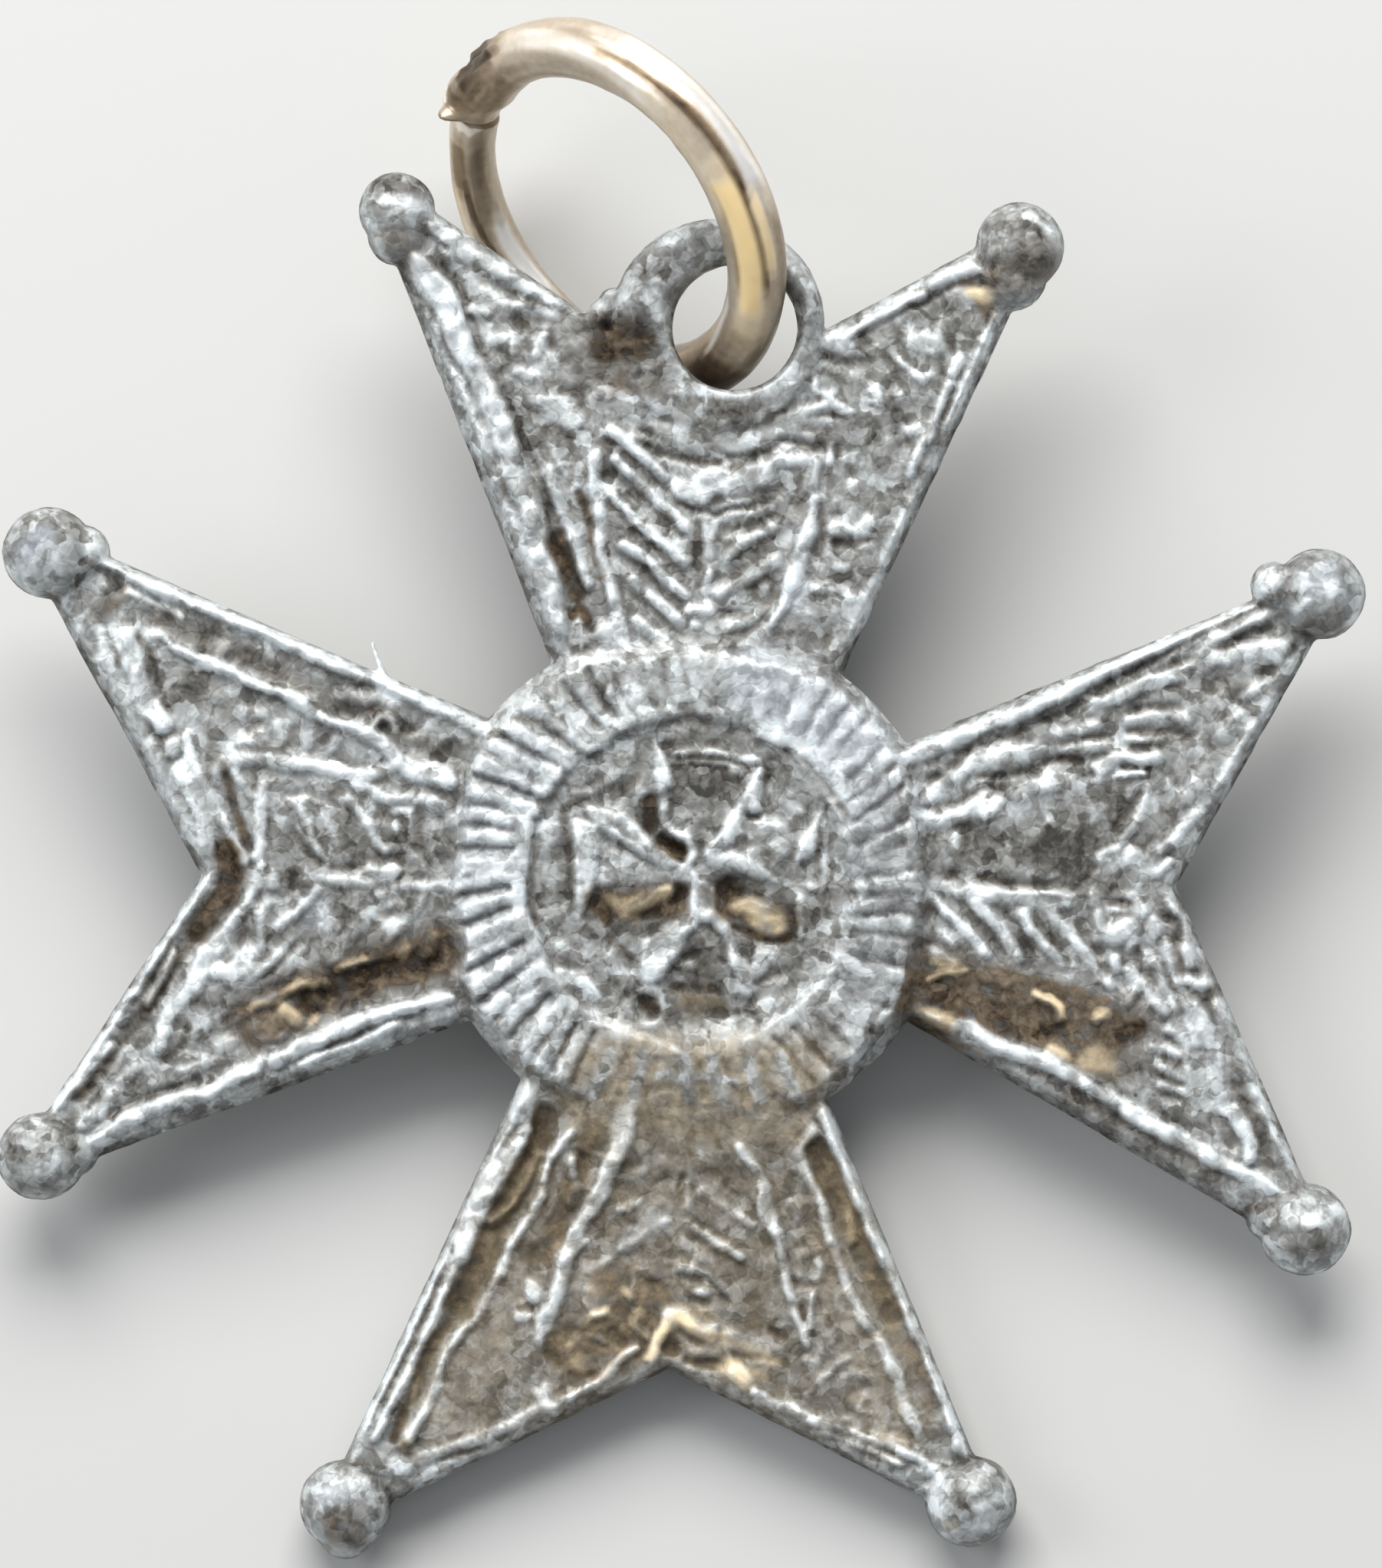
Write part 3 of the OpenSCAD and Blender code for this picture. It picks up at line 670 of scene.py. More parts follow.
r(0.22, 0.08, 0.2, (0.22, 3.25), (0.42, 3.22))
g(0.1, 0.1, 0.4, (0.04, 4.62), (0.06, 4.24))
g(0.08, 0.09, 0.4, (0.16, 4.2), (0.17, 3.9), (0.07, 3.66))
g(0.08, 0.07, 0.3, (0.96, 5.28), (1, 5), (0.9, 4.6), (0.8, 4.46))
g(0.08, 0.06, 0.3, (0.3, 3.5), (0.76, 3.47))
g(0.12, 0.07, 0.3, (0.65, 4.1), (0.85, 4.02))
# spine
r(0.14, 0.2, 0.75, (-0.13, 4.66), (-0.13, 4.34), (-0.14, 4.12))
r(0.12, 0.2, 0.85, (0.04, 4.16), (0, 4.04))
r(0.2, 0.2, 1, (-0.02, 3.94), (0.02, 3.86))
r(0.12, 0.18, 0.65, (-0.18, 3.82), (-0.15, 3.5), (-0.13, 3.14))
r(0.22, 0.18, 0.9, (-0.08, 2.94), (-0.04, 2.84))
# left panel
r(0.18, 0.14, 0.35, (-1.17, 4.66), (-0.88, 4.4), (-0.55, 4.17), (-0.28, 4))
g(0.07, 0.07, 0.3, (-0.98, 4.3), (-0.7, 4.07))
r(0.1, 0.14, 0.5, (-0.92, 3.9), (-0.7, 3.72), (-0.5, 3.57), (-0.24, 3.42))
r(0.12, 0.12, 0.5, (-0.42, 3.84), (-0.4, 3.74))
r(0.12, 0.12, 0.35, (-0.76, 3.92), (-0.7, 3.82))
g(0.1, 0.07, 0.3, (-0.58, 3.98), (-0.52, 3.8), (-0.3, 3.72))
s(0.45, (-0.72, 4.82), (-0.5, 4.8), shade=0.35, cool=0.3)
r(0.18, 0.1, 0.4, (-0.74, 4.72), (-0.58, 4.72))
r(0.12, 0.16, 0.75, (-0.73, 5.3), (-0.53, 5.04), (-0.28, 4.86))
r(0.12, 0.12, 0.4, (-0.14, 4.98), (-0.12, 4.78))
g(0.11, 0.08, 0.3, (-0.34, 5.18), (-0.06, 5.13))
r(0.11, 0.18, 0.8, (-1.5, 5.7), (-1.2, 5.4), (-0.94, 5.18))
g(0.09, 0.08, 0.3, (-1.42, 5.48), (-1.15, 5.24), (-0.92, 5.04))
r(0.3, 0.24, 1, (-1.4, 5.88), (-1.22, 5.72))
r(0.18, 0.22, 1, (-1.38, 6.08))
r(0.12, 0.16, 0.7, (-1.06, 5.56), (-0.6, 5.57), (-0.46, 5.44))
r(0.18, 0.2, 0.95, (-0.22, 5.4), (-0.08, 5.42))
g(0.1, 0.08, 0.4, (-0.42, 5.58), (-0.3, 5.56))
g(0.12, 0.08, 0.3, (-1.02, 5.86), (-0.86, 5.76))
patch.tell("left arm")

# %% The left arm: left of the notch
# the broad white band on the left of the notch
patch.wear = 0.82
r(0.24, 0.26, 1, (-1.62, 6.42), (-1.42, 6.34), (-1.16, 6.24), (-0.98, 6.08))
r(0.14, 0.22, 0.75, (-0.98, 6.06), (-0.72, 5.9), (-0.46, 5.73), (-0.2, 5.6), (0.02, 5.56))
r(0.18, 0.2, 0.7, (-2.42, 6.86), (-2.16, 6.8), (-1.92, 6.68), (-1.66, 6.46))
r(0.18, 0.18, 0.55, (-3.4, 7.78), (-3.02, 7.38), (-2.66, 7.13))
g(0.18, 0.12, 0.5, (-3.05, 7.86), (-2.6, 7.5), (-2.25, 7.26), (-1.6, 6.82), (-1.2, 6.6), (-0.86, 6.34))
g(0.34, 0.14, 1, (-0.86, 6.34), (-0.45, 6.05), (-0.08, 5.92), (0.18, 6.02))
r(0.13, 0.24, 0.75, (-2.9, 7.86), (-2.64, 7.68), (-2.38, 7.46))
r(0.2, 0.28, 0.9, (-3.34, 8.4), (-3.12, 8.12), (-2.86, 7.92))
r(0.14, 0.26, 0.7, (-2.86, 7.96), (-2.1, 7.48), (-1.5, 7.1), (-0.9, 6.7), (-0.4, 6.4), (-0.08, 6.3))
r(0.09, 0.18, 0.7, (-1.82, 7), (-1.42, 6.76), (-1.16, 6.68))
g(0.07, 0.09, 0.3, (-1.72, 7.08), (-1.34, 6.86), (-1.02, 6.68))
patch.tell("left arm")

# %% The left arm: right of the notch
r(0.17, 0.2, 0.8, (0.16, 5.64), (0.3, 5.62))
r(0.16, 0.16, 0.7, (0.42, 5.62), (0.84, 5.64), (1.08, 5.58))
r(0.11, 0.22, 0.85, (0.08, 5.78), (0.33, 5.93), (0.73, 6.17), (1.07, 6.36), (1.4, 6.52), (1.7, 6.6))
g(0.11, 0.12, 0.7, (0.27, 5.76), (0.57, 5.88), (0.8, 5.97), (1.08, 6.03), (1.36, 6.16))
r(0.12, 0.14, 0.45, (0.94, 5.74), (1.24, 5.97), (1.55, 6.03))
r(0.14, 0.12, 0.3, (1.1, 6.22), (1.3, 6.2), (1.36, 6.08))
r(0.26, 0.24, 0.8, (0.66, 6.32), (0.92, 6.48), (1.24, 6.64))
r(0.2, 0.16, 0.35, (0.22, 6.26), (0.5, 6.36))
r(0.24, 0.28, 1, (1.5, 6.76), (1.56, 6.78))
r(0.26, 0.28, 1, (1.84, 6.92), (2.04, 7.06))
r(0.28, 0.27, 0.95, (2.04, 7.14), (2.45, 7.28), (2.92, 7.46))
g(0.08, 0.1, 0.4, (2.02, 6.82), (2.4, 7), (2.72, 7.12), (2.92, 7.26))
g(0.09, 0.08, 0.3, (1.66, 6.92), (1.72, 6.74))
r(0.13, 0.24, 0.7, (2.62, 7.62), (3.1, 7.86))
r(0.2, 0.18, 0.2, (1.2, 6.92), (2, 7.36), (2.6, 7.68))
s(0.5, (2.3, 6.8), (2.4, 6.3), dirt=0.15, shade=-0.3)
g(0.14, 0.09, 0.4, (1.8, 5.78), (1.88, 5.68))
r(0.1, 0.12, 0.5, (1.62, 5.92), (1.6, 5.66), (1.72, 5.52))
r(0.16, 0.12, 0.5, (1.68, 5.4), (1.84, 5.42))
r(0.12, 0.1, 0.35, (2.02, 5.92), (2, 5.6))
r(0.1, 0.1, 0.35, (1.5, 4.7), (1.66, 4.58))
g(0.1, 0.07, 0.3, (1.58, 5.3), (1.8, 5.2))
g(0.12, 0.07, 0.3, (1.52, 4.92), (1.7, 4.74))
s(0.4, (1.55, 4.9), (1.65, 4.2), shade=-0.15, cool=0.2)
s(0.34, (3.25, 7.8), (3.4, 7.62), dirt=0.55, shade=-0.3)
g(0.12, 0.1, 0.3, (3.66, 7.66), (3.52, 7.56))
g(0.08, 0.1, 0.3, (4.06, 7.8), (4.02, 7.66))
patch.tell("left arm")

# %% The left arm: its brown side and left rim
# the brown channel and the tan lumps in it
patch.wear = 1
s(0.85, (-1.62, 4.8), (-1.3, 4), (-1, 3.2), dirt=0.95, shade=-0.2)
g(0.7, 0.06, 0.85, (-2.05, 5.6), (-1.7, 5), (-1.42, 4.35), (-1.2, 3.8), (-1.02, 3.2))
g(0.3, 0.09, 1, (-1.52, 4.6), (-1.38, 4.2), (-1.26, 3.78), (-1.12, 3.3))
g(0.12, 0.06, 0.8, (-1.22, 3.86), (-1.1, 3.62))
s(0.4, (-0.95, 3.45), (-0.8, 3.15), dirt=0.9)
patch.lump(0.11, 0.18, 0.3, 0.13, (-1.83, 5.62), (-1.67, 5.28), (-1.47, 4.92),
           (-1.5, 4.7), gold=0.38, shade=0.1)
r(0.2, 0.14, 0.3, (-1.96, 5.04), (-1.86, 5.16))
s(0.24, (-1.96, 5.04), (-1.84, 5.2), gold=0.45, shade=0.1)
g(0.08, 0.08, 0.9, *arc(0.13, 40, 340, (-1.72, 4.8)))
r(0.34, 0.12, 0.1, (-2.14, 5.5), (-2.1, 5.3))
s(0.12, (-1.95, 4.86), (-1.9, 4.74), gold=0.35, shade=0.3)
patch.lump(0.08, 0.14, 0.3, 0.1, (-1.26, 4.46), (-1.16, 4.1), gold=0.22, shade=0.1)
s(0.12, (-1.02, 3.68), (-0.9, 3.54), gold=0.2, shade=0.1)
r(0.16, 0.1, 0.1, (-1.08, 3.36), (-0.85, 3.3))
# left rim, split in two strands
r(0.22, 0.32, 1, (-2.5, 5.26), (-2.28, 4.94), (-2.1, 4.6), (-1.94, 4.22))
r(0.16, 0.32, 1, (-1.94, 4.22), (-1.83, 3.9), (-1.74, 3.5), (-1.63, 3.08))
r(0.12, 0.22, 0.4, (-2.62, 5.1), (-2.34, 4.55), (-2.14, 4.1), (-1.98, 3.74))
g(0.06, 0.08, 0.2, (-2.48, 4.98), (-2.24, 4.56), (-2.06, 4.2))
r(0.2, 0.3, 0.8, (-3.62, 7.56), (-3.36, 7.24), (-3.16, 6.78), (-3, 6.3), (-2.76, 5.88), (-2.56, 5.5))
r(0.15, 0.28, 1, (-3.4, 7.32), (-3.28, 7.12))
r(0.13, 0.26, 1, (-3.18, 6.84), (-3.1, 6.62))
r(0.15, 0.26, 1, (-2.66, 5.7), (-2.58, 5.56))
g(0.09, 0.1, 0.3, (-3.3, 7.46), (-3.04, 6.98), (-2.92, 6.56), (-2.78, 6.3))
r(0.14, 0.1, 0.3, (-2.7, 6.5), (-2.55, 6.2))
r(0.16, 0.1, 0.3, (-2.3, 6.4), (-2.1, 6.2), (-1.9, 6.3))
g(0.1, 0.08, 0.2, (-2.56, 6.74), (-2.38, 6.52), (-2.14, 6.46))
g(0.1, 0.08, 0.3, (-2.02, 5.98), (-1.86, 5.84), (-1.84, 5.66))
r(0.16, 0.1, 0.3, (-2.36, 6.02), (-2.3, 5.86))
s(0.5, (-2.85, 6.9), (-2.2, 6.3), shade=-0.15)
patch.tell("left arm")

# %% The left arm: marks, and painted highlights and shade on the balls
# the balls: a flat warm side, the ring mark, and painted highlights and shade
s(0.45, (-4.3, 8.5), (-4.25, 8.15), dirt=0.2, shade=-0.5)
s(0.12, *arc(0.2, 0, 340, (-3.76, 8.44)), shade=-0.5)
# painted highlights and painted shade on the balls, with a little dirt
s(0.22, (-3.9, 8.08), (-3.66, 8.02), shade=0.5)
s(0.25, (3.72, 8.84), (3.86, 8.8), shade=0.4)
# painted highlight on the burr's foot
s(0.2, (2.4, 3.98), (2.56, 4.06), shade=0.8)
s(0.5, (3.98, 8.75), (4.1, 8.5), cool=0.5, shade=-0.35)
s(0.16, (3.72, 8.32), (3.9, 8.3), shade=0.5)
s(0.16, (4.48, 8.72), (4.5, 8.55), shade=1)
s(0.16, (3.46, 8.55), (3.44, 8.35), dirt=0.35, shade=-0.6)
patch.tell("left arm")

# %% The bottom arm: its left side
patch, r, g, s = start_arm()
patch.wear = 0.9
s(6, (0, 4), (0, 8), dirt=0.21, gold=0.09, shade=-0.56)
# left rim and the dirty channel beside it
r(0.24, 0.32, 0.85, (-1.9, 2.96), (-2.04, 3.28), (-2.24, 3.68), (-2.42, 4.08), (-2.62, 4.52),
  (-2.86, 5.06))
r(0.17, 0.32, 0.95, (-2.86, 5.06), (-3.16, 5.72), (-3.4, 6.22), (-3.62, 6.72), (-3.86, 7.28))
g(0.32, 0.13, 0.9, (-1.78, 3.42), (-1.94, 3.78), (-2.12, 4.12), (-2.32, 4.44), (-2.56, 4.98),
  (-2.84, 5.52))
g(0.3, 0.09, 0.55, (-2.84, 5.52), (-3, 5.9), (-3.18, 6.26), (-3.38, 6.7))
r(0.13, 0.14, 0.15, (-2.3, 4.62), (-2.2, 4.3))
s(0.14, (-2.32, 4.62), (-2.2, 4.28), gold=0.3)
g(0.14, 0.06, 1, (-2.08, 4.18), (-1.98, 4))
r(0.15, 0.25, 0.85, (-3.26, 7.1), (-3.06, 6.8), (-2.92, 6.3))
r(0.2, 0.25, 0.95, (-2.93, 6.32), (-2.86, 6.22))
r(0.14, 0.25, 0.9, (-2.86, 6.2), (-2.72, 5.94), (-2.56, 5.72), (-2.38, 5.44), (-2.22, 5.1), (-2.1, 4.8))
r(0.14, 0.22, 0.65, (-2.1, 4.8), (-1.97, 4.43), (-1.84, 4.07), (-1.68, 3.76))
r(0.26, 0.18, 0.55, (-1.58, 3.66), (-1.52, 3.5))
r(0.12, 0.14, 0.4, (-1.62, 3.4), (-1.72, 3.18))
# middle left field
r(0.08, 0.13, 0.45, *arc(0.15, 20, 200, (-1.76, 5.02)))
r(0.12, 0.15, 0.8, (-1.9, 4.92), (-1.86, 4.84))
r(0.09, 0.14, 0.55, (-1.86, 4.72), (-1.66, 4.76), (-1.6, 4.84))
g(0.12, 0.08, 0.3, (-1.8, 5.22), (-1.62, 5.2))
g(0.1, 0.07, 0.3, (-1.7, 4.6), (-1.56, 4.66))
r(0.2, 0.09, 0.25, (-1.6, 4.3), (-1.5, 4.1))
r(0.08, 0.12, 0.4, (-2.32, 6.14), (-1.92, 6.44), (-1.76, 6.58))
r(0.1, 0.11, 0.3, (-2.7, 6.82), (-2.5, 6.76), (-2.56, 6.6))
r(0.1, 0.11, 0.3, (-2.6, 6.4), (-2.35, 6.3))
g(0.09, 0.07, 0.3, (-2.44, 6.9), (-2.3, 6.7), (-2.4, 6.54))
r(0.12, 0.1, 0.4, (-1.84, 6.24), (-1.74, 6.18))
patch.tell("bottom arm")

# %% The bottom arm: left half of the panel
# the ridge beside the panel on the left
patch.wear = 1.2
r(0.12, 0.2, 0.8, (-1.74, 5.96), (-1.57, 5.57), (-1.5, 5.27), (-1.4, 4.93), (-1.3, 4.6))
r(0.22, 0.22, 0.9, (-1.28, 4.52), (-1.18, 4.27), (-1.12, 4.05))
r(0.15, 0.2, 0.95, (-1.1, 3.92), (-0.98, 3.7), (-0.88, 3.58), (-0.76, 3.4))
r(0.07, 0.14, 0.4, (-1.76, 5.94), (-1.76, 5.64), (-1.82, 5.34))
g(0.07, 0.08, 0.3, (-1.7, 5.76), (-1.66, 5.5))
# left half of the panel
patch.wear = 0.9
s(0.5, (-1.22, 5.55), (-1.1, 5.35), dirt=0.4, shade=-0.5)
g(0.2, 0.05, 0.4, (-1.14, 4.76), (-1.02, 4.6))
r(0.11, 0.14, 0.5, (-0.74, 5.34), (-0.47, 5.08), (-0.07, 5))
r(0.13, 0.1, 0.2, (-0.86, 5.16), (-0.5, 4.94), (-0.12, 4.72))
r(0.1, 0.17, 0.9, (-0.88, 4.84), (-0.54, 4.67), (-0.28, 4.5))
g(0.07, 0.07, 0.3, (-0.9, 4.96), (-0.5, 4.78), (-0.2, 4.6))
g(0.07, 0.08, 0.3, (-0.76, 4.66), (-0.4, 4.48), (-0.1, 4.37))
r(0.13, 0.14, 0.5, (-0.98, 4.4), (-0.67, 4.23), (-0.44, 4.08))
r(0.15, 0.16, 0.8, (-0.54, 4.02), (-0.32, 4.04))
g(0.08, 0.06, 0.3, (-1, 4.18), (-0.72, 4.02), (-0.58, 3.9))
r(0.09, 0.13, 0.45, (-0.52, 3.7), (-0.36, 3.66), (-0.22, 3.5), (-0.3, 3.42))
r(0.09, 0.11, 0.35, (-0.5, 3.66), (-0.34, 3.46))
r(0.08, 0.13, 0.5, (-0.12, 4.26), (-0.12, 3.92))
g(0.09, 0.1, 0.4, (-0.04, 4.2), (-0.03, 3.6))
r(0.14, 0.14, 0.7, (-0.38, 5.32), (-0.26, 5.3))
g(0.12, 0.1, 0.4, (-0.4, 5.46), (-0.24, 5.42))
g(0.1, 0.09, 0.4, (-0.34, 5.12), (-0.1, 5.1))
g(0.1, 0.07, 0.3, (-0.74, 5.48), (-0.62, 5.38))
patch.tell("bottom arm")

# %% The bottom arm: right half of the panel
r(0.13, 0.15, 0.6, (0.12, 4.43), (0.4, 4.63), (0.7, 4.78))
s(0.3, (0.2, 4.5), (0.6, 4.7), cool=0.4)
r(0.11, 0.12, 0.4, (0.48, 4.15), (0.78, 4.3))
r(0.11, 0.13, 0.45, (0.14, 3.72), (0.26, 3.58), (0.44, 3.78), (0.6, 3.86))
r(0.09, 0.12, 0.3, (0.88, 4.96), (1.18, 5.12))
r(0.26, 0.08, 0.25, (0.18, 4.22), (0.32, 4.42))
g(0.12, 0.08, 0.3, (0.14, 3.9), (0.16, 3.74))
g(0.11, 0.07, 0.3, (0.82, 4.48), (0.98, 4.66))
g(0.1, 0.06, 0.3, (0.54, 4.44), (0.72, 4.42))
g(0.12, 0.07, 0.3, (0.62, 3.98), (0.84, 3.96))
# the broad white ridge on the panel's right
patch.wear = 1.2
r(0.28, 0.24, 0.95, (0.72, 3.02), (0.72, 3.36))
r(0.22, 0.25, 0.9, (0.74, 3.42), (0.88, 3.8), (1, 4.08), (1.12, 4.32))
r(0.19, 0.26, 1, (1.12, 4.32), (1.3, 4.62), (1.42, 4.92), (1.5, 5.24), (1.54, 5.52))
r(0.26, 0.26, 1, (1.6, 5.66), (1.68, 5.84))
r(0.13, 0.2, 0.7, (1.72, 5.92), (1.77, 6.1))
r(0.09, 0.16, 0.7, (1.14, 4.68), (1.3, 4.84))
r(0.24, 0.2, 1, (1.78, 5.46), (1.86, 5.34))
r(0.12, 0.16, 0.85, (1.72, 5.07))
r(0.16, 0.14, 0.65, (1.92, 5.72), (2, 5.72))
patch.tell("bottom arm")

# %% The bottom arm: its right side
# brown channels and the ridge between them
patch.wear = 1.15
g(0.34, 0.09, 0.75, (1.12, 3.25), (1.26, 3.7), (1.38, 4.1), (1.62, 4.7), (1.76, 4.94))
g(0.14, 0.08, 1, (1.22, 3.76), (1.28, 3.64))
r(0.15, 0.14, 0.35, (1.36, 3.86), (1.38, 3.66))
r(0.2, 0.1, 0.15, (1.36, 4.2), (1.3, 4.05))
r(0.14, 0.12, 0.3, (1.56, 5), (1.52, 4.8))
r(0.11, 0.23, 0.65, (2.56, 5.72), (2.42, 5.4), (2.26, 5.08), (2.08, 4.72), (1.92, 4.4), (1.78, 4.02),
  (1.64, 3.64), (1.42, 3.26))
r(0.13, 0.23, 0.95, (2.3, 5.18), (2.22, 5))
r(0.11, 0.22, 0.55, (2.96, 6.24), (2.72, 5.88), (2.56, 5.72))
r(0.13, 0.24, 0.95, (3.36, 7.36), (3.16, 6.96), (3.05, 6.66))
r(0.12, 0.22, 0.6, (3.05, 6.66), (2.96, 6.24))
g(0.36, 0.12, 0.9, (1.76, 3.1), (1.92, 3.6), (2.16, 4.2), (2.46, 4.9), (2.8, 5.6))
g(0.16, 0.1, 0.8, (2.8, 5.6), (3.12, 6.14), (3.34, 6.8), (3.54, 7.36))
g(0.18, 0.06, 1, (1.72, 3.4), (1.86, 3.2))
patch.lump(0.1, 0.12, 0.15, 0.12, (2.38, 4.52), (2.12, 4.24), (1.95, 3.92), (1.8, 3.58), gold=0.16)
r(0.08, 0.13, 0.3, (3.48, 7.44), (3.36, 7.04), (3.32, 6.7))
s(0.12, (3.5, 7.44), (3.42, 7.2), gold=0.3)
# right rim, two strands
r(0.32, 0.32, 0.95, (2.04, 2.86), (2.1, 3.26), (2.24, 3.6), (2.44, 3.98), (2.64, 4.44), (2.86, 4.94))
r(0.16, 0.32, 0.95, (2.98, 4.96), (3.36, 5.7), (3.58, 6.28), (3.82, 6.8), (4.08, 7.34))
r(0.12, 0.3, 0.75, (2.86, 5), (3.12, 5.8), (3.38, 6.42), (3.62, 6.92), (3.82, 7.36))
g(0.06, 0.1, 0.2, (2.1, 3.2), (2.3, 3.52), (2.62, 4.14), (2.95, 4.95), (3.22, 5.76), (3.48, 6.36),
  (3.86, 7.14))
patch.tell("bottom arm")

# %% The bottom arm: left of the notch
patch.wear = 1
r(0.16, 0.28, 1, (-1.84, 6.9), (-1.5, 6.76), (-1.1, 6.62))
r(0.13, 0.26, 0.85, (-3.34, 7.42), (-2.92, 7.26), (-2.56, 7.18), (-2.2, 7.05), (-1.9, 6.94))
r(0.08, 0.22, 0.45, (-3.04, 7.48), (-2.56, 7.3), (-2, 7.1))
g(0.06, 0.08, 0.3, (-3, 7.38), (-2.56, 7.24), (-2.1, 7.08))
r(0.2, 0.26, 0.9, (-3.52, 7.56), (-3.36, 7.54))
r(0.14, 0.2, 0.6, (-3.82, 7.28), (-3.76, 7.2))
patch.lump(0.08, 0.15, 0.4, 0.1, (-3.08, 7.2), (-2.7, 7.1), gold=0.3)
r(0.12, 0.16, 0.8, (-2.3, 6.93))
r(0.26, 0.2, 0.5, (-0.96, 6.44), (-0.84, 6.36))
s(0.36, (-0.98, 6.46), (-0.78, 6.32), gold=0.75, shade=0.4)
r(0.2, 0.17, 0.4, (-1.38, 6.1), (-1.02, 6.02), (-0.78, 5.9))
s(0.26, (-1.38, 6.1), (-1.02, 6), (-0.74, 5.88), gold=0.4, dirt=0.3, shade=0.3)
g(0.09, 0.09, 0.7, (-1.12, 6.2), (-0.8, 6.15))
g(0.1, 0.08, 0.6, (-1.5, 6.24), (-1.34, 6.16))
g(0.1, 0.1, 0.7, (-1.44, 5.92), (-1.24, 5.84))
s(0.24, (-1.24, 6.38), (-1.05, 6.34), gold=0.35, dirt=0.3)
s(0.5, (-1.4, 6.48), (-0.5, 6.2), dirt=0.45)
g(0.14, 0.09, 0.8, (-0.62, 6.28), (-0.2, 6.2))
r(0.12, 0.12, 0.3, (-0.6, 6.12), (-0.24, 6.08))
r(0.2, 0.24, 0.6, (-0.52, 5.84), (-0.27, 5.77), (-0.1, 5.67), (0.04, 5.66))
s(0.24, (-0.54, 5.85), (-0.27, 5.77), (-0.08, 5.67), (0.06, 5.66), gold=1, shade=0.9)
patch.lump(0.14, 0.22, 0.5, 0.16, (0.08, 5.76), (0.22, 5.98), (0.27, 6.18), gold=0.9, shade=0.7)
g(0.2, 0.16, 1, (-0.02, 6.08), (0.06, 6.04))
g(0.1, 0.06, 0.5, (-0.4, 5.96), (-0.12, 5.84))
s(0.4, (-0.5, 5.6), (0, 5.5), dirt=0.25, gold=0.2)
patch.tell("bottom arm")

# %% The bottom arm: right of the notch
# right of the notch, brown and lumpy
r(0.12, 0.25, 0.6, (0.48, 6.08), (0.74, 6.3), (0.94, 6.52), (1.24, 6.7), (1.48, 6.8))
s(0.16, (0.46, 6.06), (0.74, 6.3), (0.94, 6.52), gold=0.24, shade=0.1)
r(0.28, 0.28, 1, (1.54, 6.84), (1.62, 6.72))
r(0.13, 0.22, 0.8, (1.6, 6.58))
s(1.1, (0.45, 5.85), (1.25, 6.05), dirt=0.85, shade=-0.1)
s(0.6, (0.2, 5.3), (0.9, 5.25), dirt=0.75)
g(0.16, 0.1, 1, (0.66, 6), (0.76, 5.9))
g(0.16, 0.1, 1, (0.58, 5.66), (0.72, 5.58))
g(0.16, 0.12, 1, (0.2, 5.3), (0.3, 5.24))
g(0.12, 0.08, 1, (1.44, 6.34), (1.64, 6.2))
g(0.1, 0.08, 0.9, (1, 6.44), (1.3, 6.44))
r(0.34, 0.12, 0.2, (1.16, 6.28), (1.2, 6.16))
s(0.34, (1.14, 6.3), (1.2, 6.12), gold=0.18)
g(0.07, 0.08, 0.7, (1.08, 6.2), (1.22, 6.1), (1.26, 6.24))
r(0.12, 0.18, 0.5, (0.84, 5.62), (1.04, 5.68), (1.18, 5.8))
s(0.13, (0.84, 5.62), (1.04, 5.68), gold=0.45, shade=0.3)
r(0.12, 0.16, 0.3, (0.54, 5.42), (0.6, 5.36))
s(0.13, (0.54, 5.44), (0.62, 5.36), gold=0.4)
patch.lump(0.2, 0.16, 0.4, 0.2, (1, 5.38), (1.08, 5.32), gold=0.3)
r(0.36, 0.08, 0.1, (0.92, 5.22), (1.04, 5.16))
patch.lump(0.1, 0.14, 0.3, 0.12, (0.34, 5.92), (0.5, 5.78), (0.4, 5.64), gold=0.3)
r(0.09, 0.12, 0.3, (0.85, 6.02), (1, 5.94), (1.3, 5.96))
r(0.08, 0.12, 0.4, (0.55, 5.3), (0.56, 5.1))
r(0.16, 0.2, 0.5, (1.7, 6.94), (2, 7.14), (2.5, 7.36), (3, 7.54), (3.26, 7.66))
g(0.09, 0.08, 0.3, (2.36, 7.42), (2.9, 7.62))
r(0.26, 0.24, 0.75, (3.4, 7.72), (3.52, 7.74))
s(0.26, (3.36, 7.56), (3.5, 7.5), dirt=0.6)
patch.tell("bottom arm")

# %% The bottom arm: film, marks, and painted highlights and shade
# film over the fields and the foot of the arm, and painted highlights, painted shade and dirt on the balls
for side in (-1, 1):
    s(1.7, (side * 2, 4.2), (side * 2.9, 6.8), dirt=0.3, gold=0.12, shade=-0.18)
s(1.2, (-1.3, 3.05), (1.2, 3.05), dirt=0.4, gold=0.15)
s(0.6, (-0.2, 3.4), (0.4, 3.2), dirt=0.3)
s(0.6, (4.1, 8.65), (4.28, 8.6), dirt=0.5, shade=-0.4)
